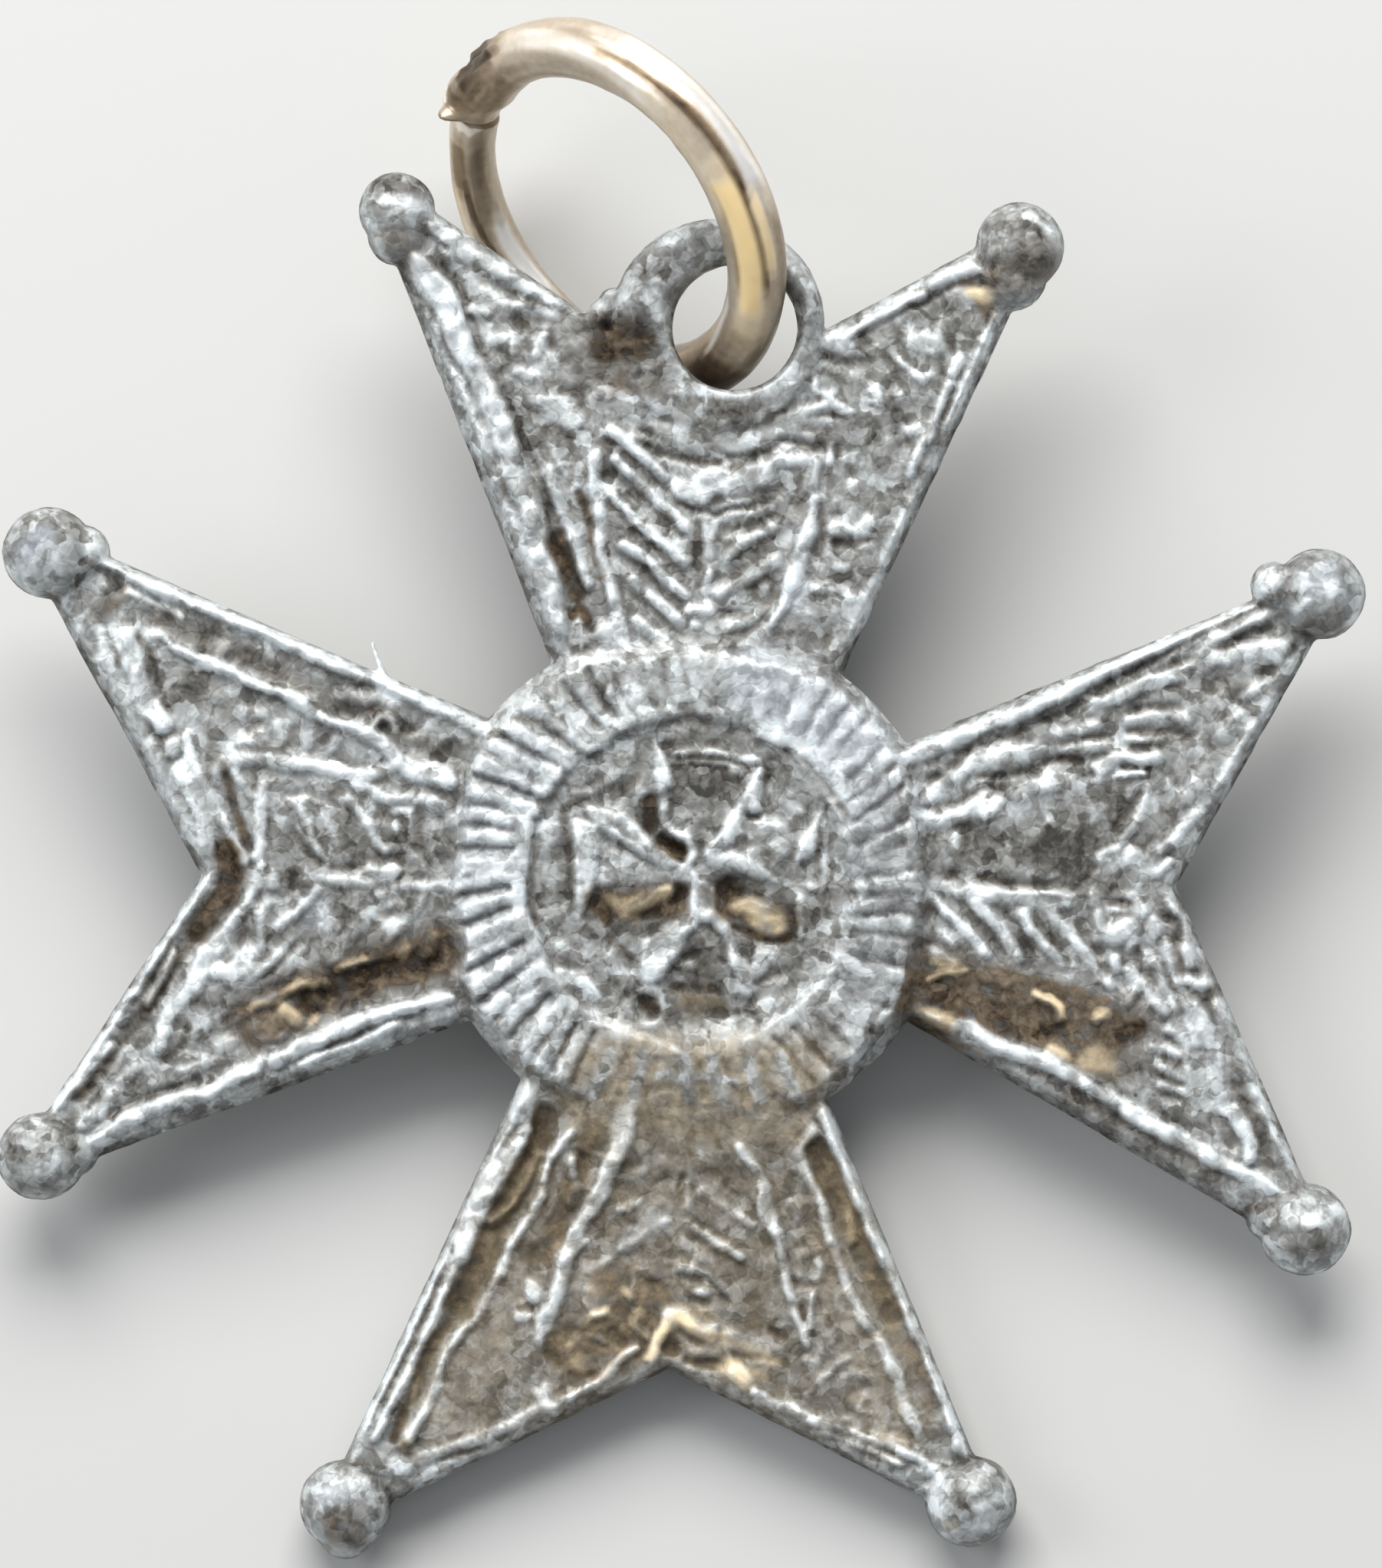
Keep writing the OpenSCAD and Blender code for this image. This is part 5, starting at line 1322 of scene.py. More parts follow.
# small marks in the field
r(0.21, 0.18, 0.9, (-1.6, -1.26), (-1.34, -1.34), (-1.18, -1.52))
r(0.13, 0.14, 0.55, (-1.25, -1.7), (-0.85, -1.93), (-0.45, -2.07), (-0.1, -2.18))
r(0.12, 0.12, 0.3, *arc(0.24, 10, 350, (-0.46, -1.66)))
g(0.22, 0.07, 0.8, (-0.46, -1.62), (-0.36, -1.7))
r(0.2, 0.1, 0.35, (-1, -1.05), (-0.7, -1.3))
g(0.12, 0.07, 0.3, (-1, -0.8), (-0.7, -1))
r(0.14, 0.1, 0.35, (-1.7, -0.9), (-1.4, -1.05))
r(0.15, 0.1, 0.25, (1, -1.6), (1.5, -1.35))
r(0.15, 0.1, 0.35, (0.5, -1.95), (0.9, -1.8))
g(0.1, 0.07, 0.3, (0.3, -1.74), (0.7, -1.66))
r(0.3, 0.07, 0.2, (-1.78, 0.6), (-1.74, 0.1))
g(0.14, 0.06, 0.3, (-1.62, 0.9), (-1.56, 0.3))
r(0.14, 0.1, 0.35, (-1.1, 1.3), (-0.8, 1.6))
r(0.14, 0.09, 0.35, (-1.5, 1.1), (-1.2, 1.2))
g(0.12, 0.07, 0.3, (-1, 1.1), (-0.76, 1.34))
r(0.18, 0.1, 0.2, (1, 1.55), (1.3, 1.22))
r(0.12, 0.1, 0.35, (1.18, 1.1), (1.4, 0.96))
centre.tell("centre")

# %% The wreath's inner edge, its foot and the brown film
# Low lumps under the brown film at the foot. Columns: place across, lean
FOOT_LUMPS = [(-0.95, -0.2), (-0.52, -0.08), (0.02, 0.06), (0.38, 0.14), (0.84, 0.18), (1.26, 0.3)]
# the wreath's inner edge
r(0.2, 0.22, 1, (0.96, 2.06), (1.34, 1.87), (1.56, 1.73), (1.9, 1.36), base=MEDAL_TOP)
s(0.2, (0.96, 2.06), (1.56, 1.73), (1.9, 1.36), shade=0.5)
# painted light along the inner slope's upper left, against the shade the slope takes
s(0.22, *arc(2, 100, 160), shade=0.45)
g(0.11, 0.12, 0.3, (1.2, 1.74), (1.48, 1.58), (1.77, 1.25), (2.02, 0.92))
g(0.06, 0.05, 0.2, (-0.3, 2.06), (0.12, 2.07), (0.8, 1.99))
r(0.18, 0.14, 0.9, (-2.16, 0.72), (-2.2, 0.2), (-2.17, -0.5), base=MEDAL_TOP)
g(0.08, 0.05, 0.2, (-2.02, 0.8), (-2.04, 0.1), (-1.98, -0.6))
s(1.1, (0.8, 2.6), (1.5, 2.3), (2.1, 1.8), cool=0.55, shade=0.1)
s(1, *arc(2.65, 148, 214), cool=0.25, shade=0.14)
for angle in (-42, -34, -26):
    r(0.26, 0.16, 0.6, polar(2.3, angle), polar(2.85, angle + 3), base=MEDAL_TOP)
for across, lean in FOOT_LUMPS:
    r(0.16, 0.17, 0.5, (across, -2.32), (across + lean, -2.8), base=MEDAL_TOP, fade=(0.6, 1))
    g(0.07, 0.08, 0.6, (across + 0.2, -2.3), (across + 0.2 + lean, -2.78))
r(0.12, 0.16, 0.5, (-0.3, -2.52), (0.3, -2.48), (0.7, -2.58), base=MEDAL_TOP)
g(0.06, 0.07, 0.6, (-0.8, -2.62), (-0.3, -2.68), (0.2, -2.6))
# brown film
s(0.5, (0.2, -1.2), (0.1, -1.7), dirt=0.4)
s(1.4, (-0.9, -2.5), (0.2, -2.6), (1.4, -2.5), dirt=0.5, gold=0.18, shade=-0.05)
s(0.9, (2.4, -1.2), (2.6, -0.2), cool=0.2, shade=-0.46)
s(0.8, (2.3, 0.4), (2.4, 1.2), cool=0.25, shade=-0.38)
s(0.9, (0.8, -2.3), (1.8, -2), dirt=0.35)
s(0.5, (-0.2, 1.95), (0.6, 1.9), dirt=0.2)
for across, lean in FOOT_LUMPS:
    centre.rub(0.18, 0.8, (across, -2.26), (across + lean, -2.8))
centre.rub(0.14, 0.8, (-0.3, -2.52), (0.3, -2.48), (0.7, -2.58))
centre.tell("centre")

# %% [markdown]
# ## Balls, necks and the eyelet
# A ball on each tip hides the mould's weakest corner. Its top half is a dome in the height
# map, and its lower half comes from the CAD solid. Extra lumps make some balls long or add a
# spill of metal at the neck, as the casting shows. The eyelet is a flat ring with worn,
# rounded edges that sinks into the top arm.

# %% Domes and the eyelet's profile
# Columns: place across, place up, radius, height of the dome as a share of the radius
LUMPS = [
    (3.93, 8.04, 0.46, 0.85),
    (-4.08, 8.3, 0.4, 0.9),
    (-4.18, -8.6, 0.38, 0.8),
    (7.5, 4.12, 0.32, 1.1),
    (-8.05, 4.02, 0.36, 0.9),
    (-7.9, -3.8, 0.32, 0.9),
    (7.72, -4.12, 0.3, 1.0),
    (-1.5, 7.27, 0.17, 0.9),
    (-1.37, 7.37, 0.2, 0.9),
    (-1.24, 7.52, 0.2, 0.9),
]
# A fine burr stands off the left arm's upper edge, thick at its foot and sharp at its tip
BURR_FROM, BURR_TO = (-3.96, 2.28), (-4.24, 2.98)
BURR_THICK, BURR_SHARP = 0.07, 0.025
EYE_AT, EYE_R = (0.12, 7.27), 1.39
HOLE_AT, HOLE_R, HOLE_FLARE = (0.35, 7.24), 0.82, 0.3
EYE_TOP, EYE_SINK = 0.4, 0.17


def ball_places():
    """Place and radius of the eight balls in the cross's frame."""
    found = []
    for arm, row in enumerate(OUTLINES):
        found.append((*to_face(row[1], arm), row[2] * BALL_R))
        found.append((*to_face(row[5], arm), row[6] * BALL_R))
    return found


def raise_dome(height, x, y, radius, share):
    """Raises a flattened ball. The share is its height over its radius."""
    at = window(GRID_X, GRID_Y, [(x, y)], radius + 0.1)
    away = np.hypot(GRID_X[at] - x, GRID_Y[at] - y)
    dome = np.sqrt(np.clip(radius**2 - away**2, 0, None)) * share
    height[at] = np.where(away < radius, np.maximum(height[at], dome), height[at])


def eyelet_height():
    """The eyelet's top: rounded at its outer edge, flared into its hole, sunk at its foot."""
    outer = np.hypot(GRID_X - EYE_AT[0], GRID_Y - EYE_AT[1])
    inner = np.hypot(GRID_X - HOLE_AT[0], GRID_Y - HOLE_AT[1])
    # towards the arm it sinks, and its edge falls off more broadly
    sunk = smooth_step(EYE_AT[1] + 0.3, EYE_AT[1] - 0.5, GRID_Y)
    fall = 0.3 + 0.25 * sunk
    foot = 0.14 + 0.07 * sunk
    over = np.clip((outer - (EYE_R - fall)) / fall, 0, 1)
    rim = foot + (EYE_TOP - EYE_SINK * sunk - foot) * np.sqrt(1 - over**2)
    into = np.clip((HOLE_R + HOLE_FLARE - inner) / HOLE_FLARE, 0, 1)
    throat = EYE_TOP - HOLE_FLARE + HOLE_FLARE * np.sqrt(1 - into**2)
    return outer, inner, np.minimum(rim, throat)


print("balls at:", [(round(x, 2), round(y, 2)) for x, y, _ in ball_places()])

# %% [markdown]
# ## Putting the relief together
# The arms are drawn upright and turned by quarter turns, which a square grid does without
# any loss. Each later shape is kept only where it stands higher, as one lump of wax pressed
# on another. A granular unevenness over everything is what a worn casting of a soft alloy
# shows. Blurred copies of the relief tell crests from hollows: what stands above its
# surroundings is rubbed bright, and what lies below keeps its tarnish.

# %% The arms in one map
relief = np.full((SIDE, SIDE), EDGE_LOW, np.float32)
shine, dirt, gold, cool, shade = np.zeros((5, SIDE, SIDE), np.float32)
for arm, patch in enumerate(arms):
    left, right, notch_left, notch_right = edge_distances(OUTLINES[arm])
    flank_l, flank_r, flank_nl, flank_nr = FLANKS[arm]
    patch.height = limit_by_flank(patch.height, left, flank_l)
    patch.height = limit_by_flank(patch.height, right, flank_r)
    notch_side = np.maximum(notch_left / flank_nl, notch_right / flank_nr)
    patch.height = limit_by_flank(patch.height, notch_side, 1.0)
    own = np.zeros((SIDE, SIDE), bool)
    own[ARM_ROWS, ARM_COLS] = ARM_Y >= np.abs(ARM_X)
    for target, drawn in (
        (relief, patch.height), (shine, patch.shine), (dirt, patch.dirt),
        (gold, patch.gold), (cool, patch.cool), (shade, patch.shade),
    ):
        whole = np.zeros((SIDE, SIDE), np.float32)
        whole[ARM_ROWS, ARM_COLS] = drawn
        np.copyto(target, np.rot90(whole, -arm), where=np.rot90(own, -arm))

print("relief with the arms: up to", round(float(relief.max()), 2), "mm")

# %% The centre joins them
# the boss reaches further out between the arms, and its foot slopes into the bottom arm
BOSS_R, CORNER_REACH = 2.98, 0.14
corner = np.abs(np.sin(2 * np.arctan2(centre.ys, centre.xs)))
from_centre = np.hypot(centre.wx, centre.wy) - CORNER_REACH * smooth_step(0.5, 0.85, corner)
centre.height = np.minimum(centre.height, np.interp(from_centre, BOSS_EDGE_R, BOSS_EDGE_H))
from_axis = np.degrees(np.arctan2(np.abs(centre.xs), -centre.ys))
radius = np.hypot(centre.xs, centre.ys)
slope = np.interp(radius, (2.3, CENTRE_REACH), (MEDAL_TOP, FIELD))
at_foot = smooth_step(32, 22, from_axis)
centre.height -= at_foot * (MEDAL_TOP - slope)
boss = from_centre < BOSS_R
verge = radius < MEDAL_R + 0.03
under = relief[CENTRE, CENTRE]
ramp_down = np.maximum(under, EDGE_LOW + at_foot * (slope - EDGE_LOW))
under = np.where(radius < CENTRE_REACH, ramp_down, under)
around_boss = np.where(verge, np.maximum(under, centre.height), under)
relief[CENTRE, CENTRE] = np.where(boss, centre.height, around_boss)
for target, drawn in ((shine, centre.shine), (dirt, centre.dirt), (gold, centre.gold), (cool, centre.cool)):
    target[CENTRE, CENTRE] = np.where(boss, drawn, np.maximum(drawn, target[CENTRE, CENTRE]))
shade[CENTRE, CENTRE] = np.where(boss, centre.shade, shade[CENTRE, CENTRE] + centre.shade)
print("cells of the boss:", int(boss.sum()))

# %% Balls, burr and eyelet
BALL_SHARE = 0.85
for x, y, radius in ball_places():
    raise_dome(relief, x, y, radius, BALL_SHARE)
    # painted shade on each ball's upper side and painted light on its lower side
    painted_ball_shade = 0.2 + 0.5 * (GRID_Y - y) / radius
    shade -= painted_ball_shade * smooth_step(radius + 0.1, radius - 0.05, np.hypot(GRID_X - x, GRID_Y - y))
for x, y, radius, share in LUMPS:
    raise_dome(relief, x, y, radius, share)
at = window(GRID_X, GRID_Y, [BURR_FROM, BURR_TO], 0.3)
near, _ = distance_to([BURR_FROM, BURR_TO], GRID_X[at], GRID_Y[at])
relief[at] = np.maximum(relief[at], 0.16 - 1.2 * near)
# painted highlight along the burr, which makes it white
shade[at] += 1.3 * smooth_step(0.2, 0.08, near)
eye_outer, eye_inner, eye_height = eyelet_height()
eyelet = np.where(eye_inner > HOLE_R + HOLE_FLARE, np.maximum(relief, eye_height), eye_height)
relief = np.where(eye_outer < EYE_R, eyelet, relief)
print("relief from", round(float(relief.min()), 2), "to", round(float(relief.max()), 2), "mm")

# %% Grain, crests and hollows
GRAIN = (
    0.012 * (1 - 2 * np.abs(noise(0.28)))
    + 0.008 * (1 - 2 * np.abs(noise(0.16)))
    + 0.003 * noise(0.09)
    + 0.016 * noise(0.5)
)
relief = (blurred(relief, 0.022) + GRAIN).astype(np.float32)
# what stands above a small or a broad neighbourhood is a crest
fine_crest = relief - blurred(relief, 0.08)
broad_crest = relief - blurred(relief, 0.28)
print("grain:", round(float(np.ptp(GRAIN)), 3), "mm from pit to grain")

# %% [markdown]
# ## The casting's mesh
# A copy of the CAD cross gives the true outline, the walls, the hole and the balls' lower
# halves. Its relief is pressed nearly flat, because the drawn one replaces it, and the extra
# lumps and the burr are added. A voxel remesh then gives one closed skin of small even faces,
# like clay before modelling. Each point of that skin is lifted to the height map, the walls
# and the back get a faint cast roughness, and a collapse decimation spends the triangles
# where the shape is busy and saves them on the plain back.

# %% A blank with a flat top
VOXEL = 0.032
RELIEF_KEPT = 0.03
TRIANGLES = 194000
BACK_TRIANGLES = 36000
FLOOR_GAP = 0.004 * MM


def cast_blank():
    bm = bmesh.new()
    bm.from_mesh(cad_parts["cross_body"].data)
    bmesh.ops.remove_doubles(bm, verts=bm.verts, dist=1e-8)
    bmesh.ops.transform(bm, matrix=FLAT, verts=bm.verts)
    for x, y, radius, _ in LUMPS:
        bmesh.ops.create_icosphere(bm, subdivisions=3, radius=radius, matrix=Matrix.Translation((x, y, 0)))
    burr = Vector((*BURR_TO, 0)) - Vector((*BURR_FROM, 0))
    middle = Matrix.Translation((*[(a + b) / 2 for a, b in zip(BURR_FROM, BURR_TO)], 0.05))
    bmesh.ops.create_cone(
        bm, cap_ends=True, segments=16, radius1=BURR_THICK, radius2=BURR_SHARP, depth=burr.length,
        matrix=middle @ burr.to_track_quat("Z", "Y").to_matrix().to_4x4(),
    )
    for vert in bm.verts:
        vert.co.z = min(vert.co.z, FIELD + (vert.co.z - FIELD) * RELIEF_KEPT)
    mesh = bpy.data.meshes.new("casting")
    bm.to_mesh(mesh)
    bm.free()
    return mesh


def with_modifier(mesh, name, kind, chosen=None, **settings):
    """Runs one modifier on a mesh, or only on its chosen points, and returns the new mesh."""
    carrier = placed(name, mesh)
    if chosen is not None:
        carrier.vertex_groups.new(name="chosen").add([int(i) for i in chosen], 1.0, "REPLACE")
        settings["vertex_group"] = "chosen"
    modifier = carrier.modifiers.new(name, kind)
    for key, value in settings.items():
        setattr(modifier, key, value)
    bpy.context.view_layer.update()
    done = bpy.data.meshes.new_from_object(carrier.evaluated_get(bpy.context.evaluated_depsgraph_get()))
    bpy.data.objects.remove(carrier)
    bpy.data.meshes.remove(mesh)
    return done


skin = with_modifier(cast_blank(), "remesh", "REMESH", mode="VOXEL", voxel_size=VOXEL, adaptivity=0)
print("blank skin:", len(skin.vertices), "points")

# %% Lifting the skin to the relief
def points_of(mesh, what="co"):
    """The points' places, or another vector that they carry, as rows of three numbers."""
    values = np.empty(len(mesh.vertices) * 3, np.float32)
    mesh.vertices.foreach_get(what, values)
    return values.reshape(-1, 3).astype(np.float64)


def move_points(mesh, co):
    mesh.vertices.foreach_set("co", co.astype(np.float32).ravel())
    mesh.update()


def sampled(field, xs, ys):
    """Reads a drawn field between its cells."""
    col = np.clip((xs + HALF) / CELL, 0, SIDE - 1.001)
    row = np.clip((ys + HALF) / CELL, 0, SIDE - 1.001)
    c, r = col.astype(int), row.astype(int)
    fc, fr = col - c, row - r
    low = field[r, c] * (1 - fc) + field[r, c + 1] * fc
    high = field[r + 1, c] * (1 - fc) + field[r + 1, c + 1] * fc
    return low * (1 - fr) + high * fr


def lifted(co):
    """Moves points to the height map: the top rises to it, and low edges are pressed to it."""
    height = sampled(relief, co[:, 0], co[:, 1])
    rise = np.clip(co[:, 2] / FIELD, 0, 1)
    up = co[:, 2] + rise * (height - FIELD)
    down = BACK + (co[:, 2] - BACK) * (height - BACK) / (FIELD - BACK)
    moved = np.where(height >= FIELD, up, down)
    co[:, 2] = np.where(co[:, 2] <= BACK + 0.001, co[:, 2], moved)
    return co


SKIN_GRAIN = 0.012 * noise(0.35) + 0.007 * noise(0.15)
co = lifted(points_of(skin))
move_points(skin, co)
normals = points_of(skin, "normal")
# the grain is read at slanting places, so that upright walls get it too
sides = 1 - np.clip(normals[:, 2] * 1.6, 0, 1)
rough = sampled(SKIN_GRAIN, (co[:, 0] + 1.7 * co[:, 2]) * 0.95, (co[:, 1] - 1.3 * co[:, 2]) * 0.95)
co += normals * (rough * sides)[:, None]
move_points(skin, co)
skin.calc_loop_triangles()
print("lifted skin:", len(skin.loop_triangles), "triangles")

# %% Saving triangles on the plain stretches
def collapsed(mesh, target, chosen=None):
    mesh.calc_loop_triangles()
    share = min(1.0, target / len(mesh.loop_triangles))
    done = with_modifier(mesh, "decimate", "DECIMATE", chosen, ratio=share, use_collapse_triangulate=True)
    done.calc_loop_triangles()
    return done


co = points_of(skin)
hidden = (points_of(skin, "normal")[:, 2] < 0.25) & (co[:, 2] < 0.1)
total = len(skin.loop_triangles)
plain = np.flatnonzero(hidden)
skin = collapsed(skin, total - 2 * len(plain) + BACK_TRIANGLES, plain)
print("after the back:", len(skin.loop_triangles), "triangles")
skin = collapsed(skin, TRIANGLES)
print("casting:", len(skin.loop_triangles), "triangles")

# %% [markdown]
# ## What the surface remembers
# The metal's colour follows the relief, so the height map's crests, hollows, stains, and
# painted highlights and shade are written on the mesh as attributes. The material can then
# mix bright rubbed metal, grey tarnish and brown dirt in the right places, from any side. A
# mottle and winding light and dark lines break up the even stretches. Points on the walls and
# the back get one plain tone.

# %% Attributes for the metal
def winding(size_mm, thickness):
    """Winding lines, 1 along their middle, where soft noise crosses nought."""
    return np.clip(1 - np.abs(noise(size_mm)) / thickness, 0, 1)


MOTTLE = 0.05 * noise(0.4) + 0.07 * np.tanh(2.5 * noise(0.24)) + 0.04 * np.tanh(2.5 * noise(0.13))
WORMS = 0.1 * winding(0.21, 0.16) - 0.14 * winding(0.24, 0.12)
fine_tone = np.tanh(fine_crest / 0.03)
broad_tone = np.tanh(broad_crest / 0.08)
tone_map = (
    0.4
    + 0.13 * np.where(fine_tone < 0, 0.5, 1.0) * fine_tone
    + 0.1 * np.where(broad_tone < 0, 0.6, 1.0) * broad_tone
    + 0.34 * np.clip(shine, 0, 1)
    # the drawn shade brings darker and lighter places, painted highlights and painted shade among them
    + 0.3 * shade
    + MOTTLE
    + WORMS
)
tone_map = np.clip(tone_map, 0, 1).astype(np.float32)


def write_attribute(mesh, name, values):
    layer = mesh.attributes.new(name, "FLOAT", "POINT")
    layer.data.foreach_set("value", values.astype(np.float32))


PLAIN_TONE = 0.38


def lay_down(mesh, lie):
    """Turns a flat mesh into its rest, lays it on the floor and counts the points it flattens."""
    mesh.transform(lie)
    co = points_of(mesh)
    sunk = int((co[:, 2] < FLOOR_GAP).sum())
    co[:, 2] = np.maximum(co[:, 2], FLOOR_GAP)
    move_points(mesh, co)
    return sunk


co = points_of(skin)
normals = points_of(skin, "normal")
on_top = np.clip((normals[:, 2] + 0.05) * 3, 0, 1) * np.clip((co[:, 2] + 0.35) * 8, 0, 1)
xs, ys = co[:, 0], co[:, 1]
write_attribute(skin, "tone", sampled(tone_map, xs, ys) * on_top + PLAIN_TONE * (1 - on_top))
for name, field in (("dirt", dirt), ("gold", gold), ("cool", cool)):
    write_attribute(skin, name, sampled(field, xs, ys) * on_top)
for polygon in skin.polygons:
    polygon.use_smooth = True
print("points pressed flat by the floor:", lay_down(skin, LIE))
casting = placed("casting", skin)
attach(casting, "root")
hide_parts("cross_body")
print("casting box in mm:", [round(d / MM, 2) for d in casting.dimensions])

# %% [markdown]
# ## The jump ring
# The ring is a length of round wire bent to a circle, with its two ends nearly meeting. A
# circle spun about the ring's axis gives the wire, stopping short at the joint. Its points
# are then moved: the stretch beside the joint is worn thin, the other end is cut thick with a
# lip and a small burr, and shallow flats and nicks run along it. The wire's colours are
# drawn as bands along it: rubbed gold over the eyelet, brown in its scratches, painted
# highlights in white and cream, and painted shade where it dips into the eyelet. Places on it
# are degrees around the ring from the joint, and degrees round the wire from its outer side.

# %% The wire
RING_R = 2.38
WIRE_R = 0.39
WORN_R = 0.325
RING_CENTRE = Vector((-1.29, 8.72, -0.4))
RING_TURN, RING_LEAN = math.radians(-50.5), math.radians(51.3)
JOINT_AT, JOINT_GAP, WORN_TO = -157.0, 2.5, -62.0
WIRE_SIDES, WIRE_STEPS = 60, 500
RING_LIE = (
    LIE
    @ Matrix.Translation(RING_CENTRE)
    @ Matrix.Rotation(RING_TURN, 4, "Z")
    @ Matrix.Rotation(RING_LEAN, 4, "X")
)


def spun_wire():
    bm = bmesh.new()
    first = math.radians(JOINT_AT + JOINT_GAP / 2)
    upright = Matrix.Translation((RING_R, 0, 0)) @ Matrix.Rotation(math.pi / 2, 4, "X")
    place = Matrix.Rotation(first, 4, "Z") @ upright
    bmesh.ops.create_circle(bm, segments=WIRE_SIDES, radius=WIRE_R, matrix=place)
    bmesh.ops.spin(
        bm, geom=bm.edges[:], cent=(0, 0, 0), axis=(0, 0, 1),
        angle=math.radians(360 - JOINT_GAP), steps=WIRE_STEPS, use_duplicate=False,
    )
    rims = [e for e in bm.edges if e.is_boundary]
    bmesh.ops.holes_fill(bm, edges=rims, sides=0)
    bmesh.ops.recalc_face_normals(bm, faces=bm.faces)
    mesh = bpy.data.meshes.new("wire_ring")
    bm.to_mesh(mesh)
    bm.free()
    return mesh


ring_mesh = spun_wire()
print("wire:", len(ring_mesh.vertices), "points")

# %% Its wear
co = points_of(ring_mesh)
# degrees from the joint, and the angle round the wire from its outer side
around = (np.degrees(np.arctan2(co[:, 1], co[:, 0])) - JOINT_AT) % 360
flat_r = np.hypot(co[:, 0], co[:, 1])
section = np.arctan2(co[:, 2], flat_r - RING_R)
# thinner and wavy on the worn stretch, a little uneven all round
worn_end = WORN_TO - JOINT_AT
thin = 1 - smooth_step(worn_end - 6, worn_end + 2, around)
wire = WIRE_R + (WORN_R - WIRE_R) * thin
wire -= 0.02 * thin * np.sin(np.radians(around) * 3.1 + 0.4)
wire += 0.012 * np.sin(np.radians(around) * 5 + 1.0) * np.cos(section * 2 + 0.6)
# thick, dented and drawn out to a burr beside the joint
thick_end = smooth_step(346, 357, around)
wire += 0.05 * thick_end * np.cos(section - 0.2)
nick = sampled(SKIN_GRAIN, np.radians(around) * 2.2 - 6.5, section * 1.3)
dented = smooth_step(322, 332, around) * smooth_step(354, 348, around)
dented *= smooth_step(2.0, 0.6, np.abs(section - 0.5))
wire += nick * (0.5 + 4.0 * dented)
wire += 0.2 * np.exp(-((around - 358.6) / 1.2) ** 2) * np.exp(-((section - 1.35) / 0.3) ** 2)
new_out = wire * np.cos(section) + 0.05 * thick_end
co[:, 0] *= (RING_R + new_out) / flat_r
co[:, 1] *= (RING_R + new_out) / flat_r
co[:, 2] = wire * np.sin(section)
move_points(ring_mesh, co)
print("wire's radius:", round(float(wire.min()), 3), "to", round(float(wire.max()), 3), "mm")

# %% Its colours, drawn along the wire
MARK_FROM = -100.0
along_mm = np.radians(around) * RING_R
round_deg = (np.degrees(section) - MARK_FROM) % 360 + MARK_FROM
round_mm = np.radians(round_deg) * WIRE_R
ragged_x = along_mm + 1.2 * sampled(SMEAR_X, along_mm * 0.6 - 4, round_mm * 2)
ragged_y = round_mm + 0.25 * sampled(SMEAR_Y, along_mm * 0.6 - 4, round_mm * 2)
ring_tone = 0.54 + 0.5 * sampled(MOTTLE, along_mm * 0.3 - 4, round_mm * 1.8)
ring_gold = np.zeros(len(co))


def ring_mark_and_painted_light(width, tone, gold, *points):
    """A soft band that lightens or darkens the wire and may gild it, for its marks and for painted
    highlights and shade. Points are degrees.
    """
    line = [(math.radians(a) * RING_R, math.radians(s) * WIRE_R) for a, s in points]
    near, share = distance_to(line, ragged_x, ragged_y)
    soft = smooth_step(width * 0.85, width * 0.3, near) * np.clip(9 * share * (1 - share), 0.35, 1)
    ring_tone[:] += tone * soft
    ring_gold[:] = np.maximum(ring_gold, gold * soft)


# painted highlights, nearly white on its outer side and cream higher up, and a warm stripe on top
ring_mark_and_painted_light(0.34, 0.34, 0.0, (286, 4), (262, 0), (246, 0), (222, 6))
ring_mark_and_painted_light(0.24, 0.24, 0.1, (320, 44), (298, 50), (282, 60), (262, 74))
ring_mark_and_painted_light(0.3, 0.1, 0.22, (276, 86), (250, 86), (234, 88), (216, 92))
# brown scratches on both sides of the gold band
ring_mark_and_painted_light(0.09, -0.36, 0.0, (290, 46), (270, 40), (256, 35))
ring_mark_and_painted_light(0.15, -0.42, 0.0, (262, 37), (248, 31), (238, 31), (226, 35))
ring_mark_and_painted_light(0.09, -0.42, 0.0, (234, 35), (218, 42), (208, 40), (194, 36))
ring_mark_and_painted_light(0.07, -0.3, 0.1, (236, 86), (218, 93), (208, 93), (192, 90))
ring_mark_and_painted_light(0.28, 0.26, 1.0, (238, 66), (218, 67), (206, 66), (182, 64))
ring_mark_and_painted_light(0.12, 0.22, 0.8, (226, 20), (212, 22), (200, 22))
ring_mark_and_painted_light(0.24, -0.14, 0.0, (218, -16), (200, -20), (182, -20))
# painted shade where it dips into the eyelet, with one bright edge
ring_mark_and_painted_light(0.4, 0.02, 0.3, (190, 60), (178, 60))
ring_mark_and_painted_light(0.9, -0.38, 0.0, (168, 50), (150, 50), (120, 60))
ring_mark_and_painted_light(0.07, 0.42, 0.0, (188, 120), (176, 122), (166, 118), (158, 112))
# brown and dented towards the joint
ring_mark_and_painted_light(0.44, -0.46, 0.0, (328, 30), (338, 38), (348, 45))
ring_mark_and_painted_light(0.5, -0.24, 0.05, (326, 118), (342, 112), (355, 105))
ring_mark_and_painted_light(0.3, -0.2, 0.0, (350, 60), (356, 70))
ring_mark_and_painted_light(0.1, 0.45, 0.0, (354, 28), (357, 48))
ring_mark_and_painted_light(0.12, 0.3, 0.1, (3, 70), (3, 150))
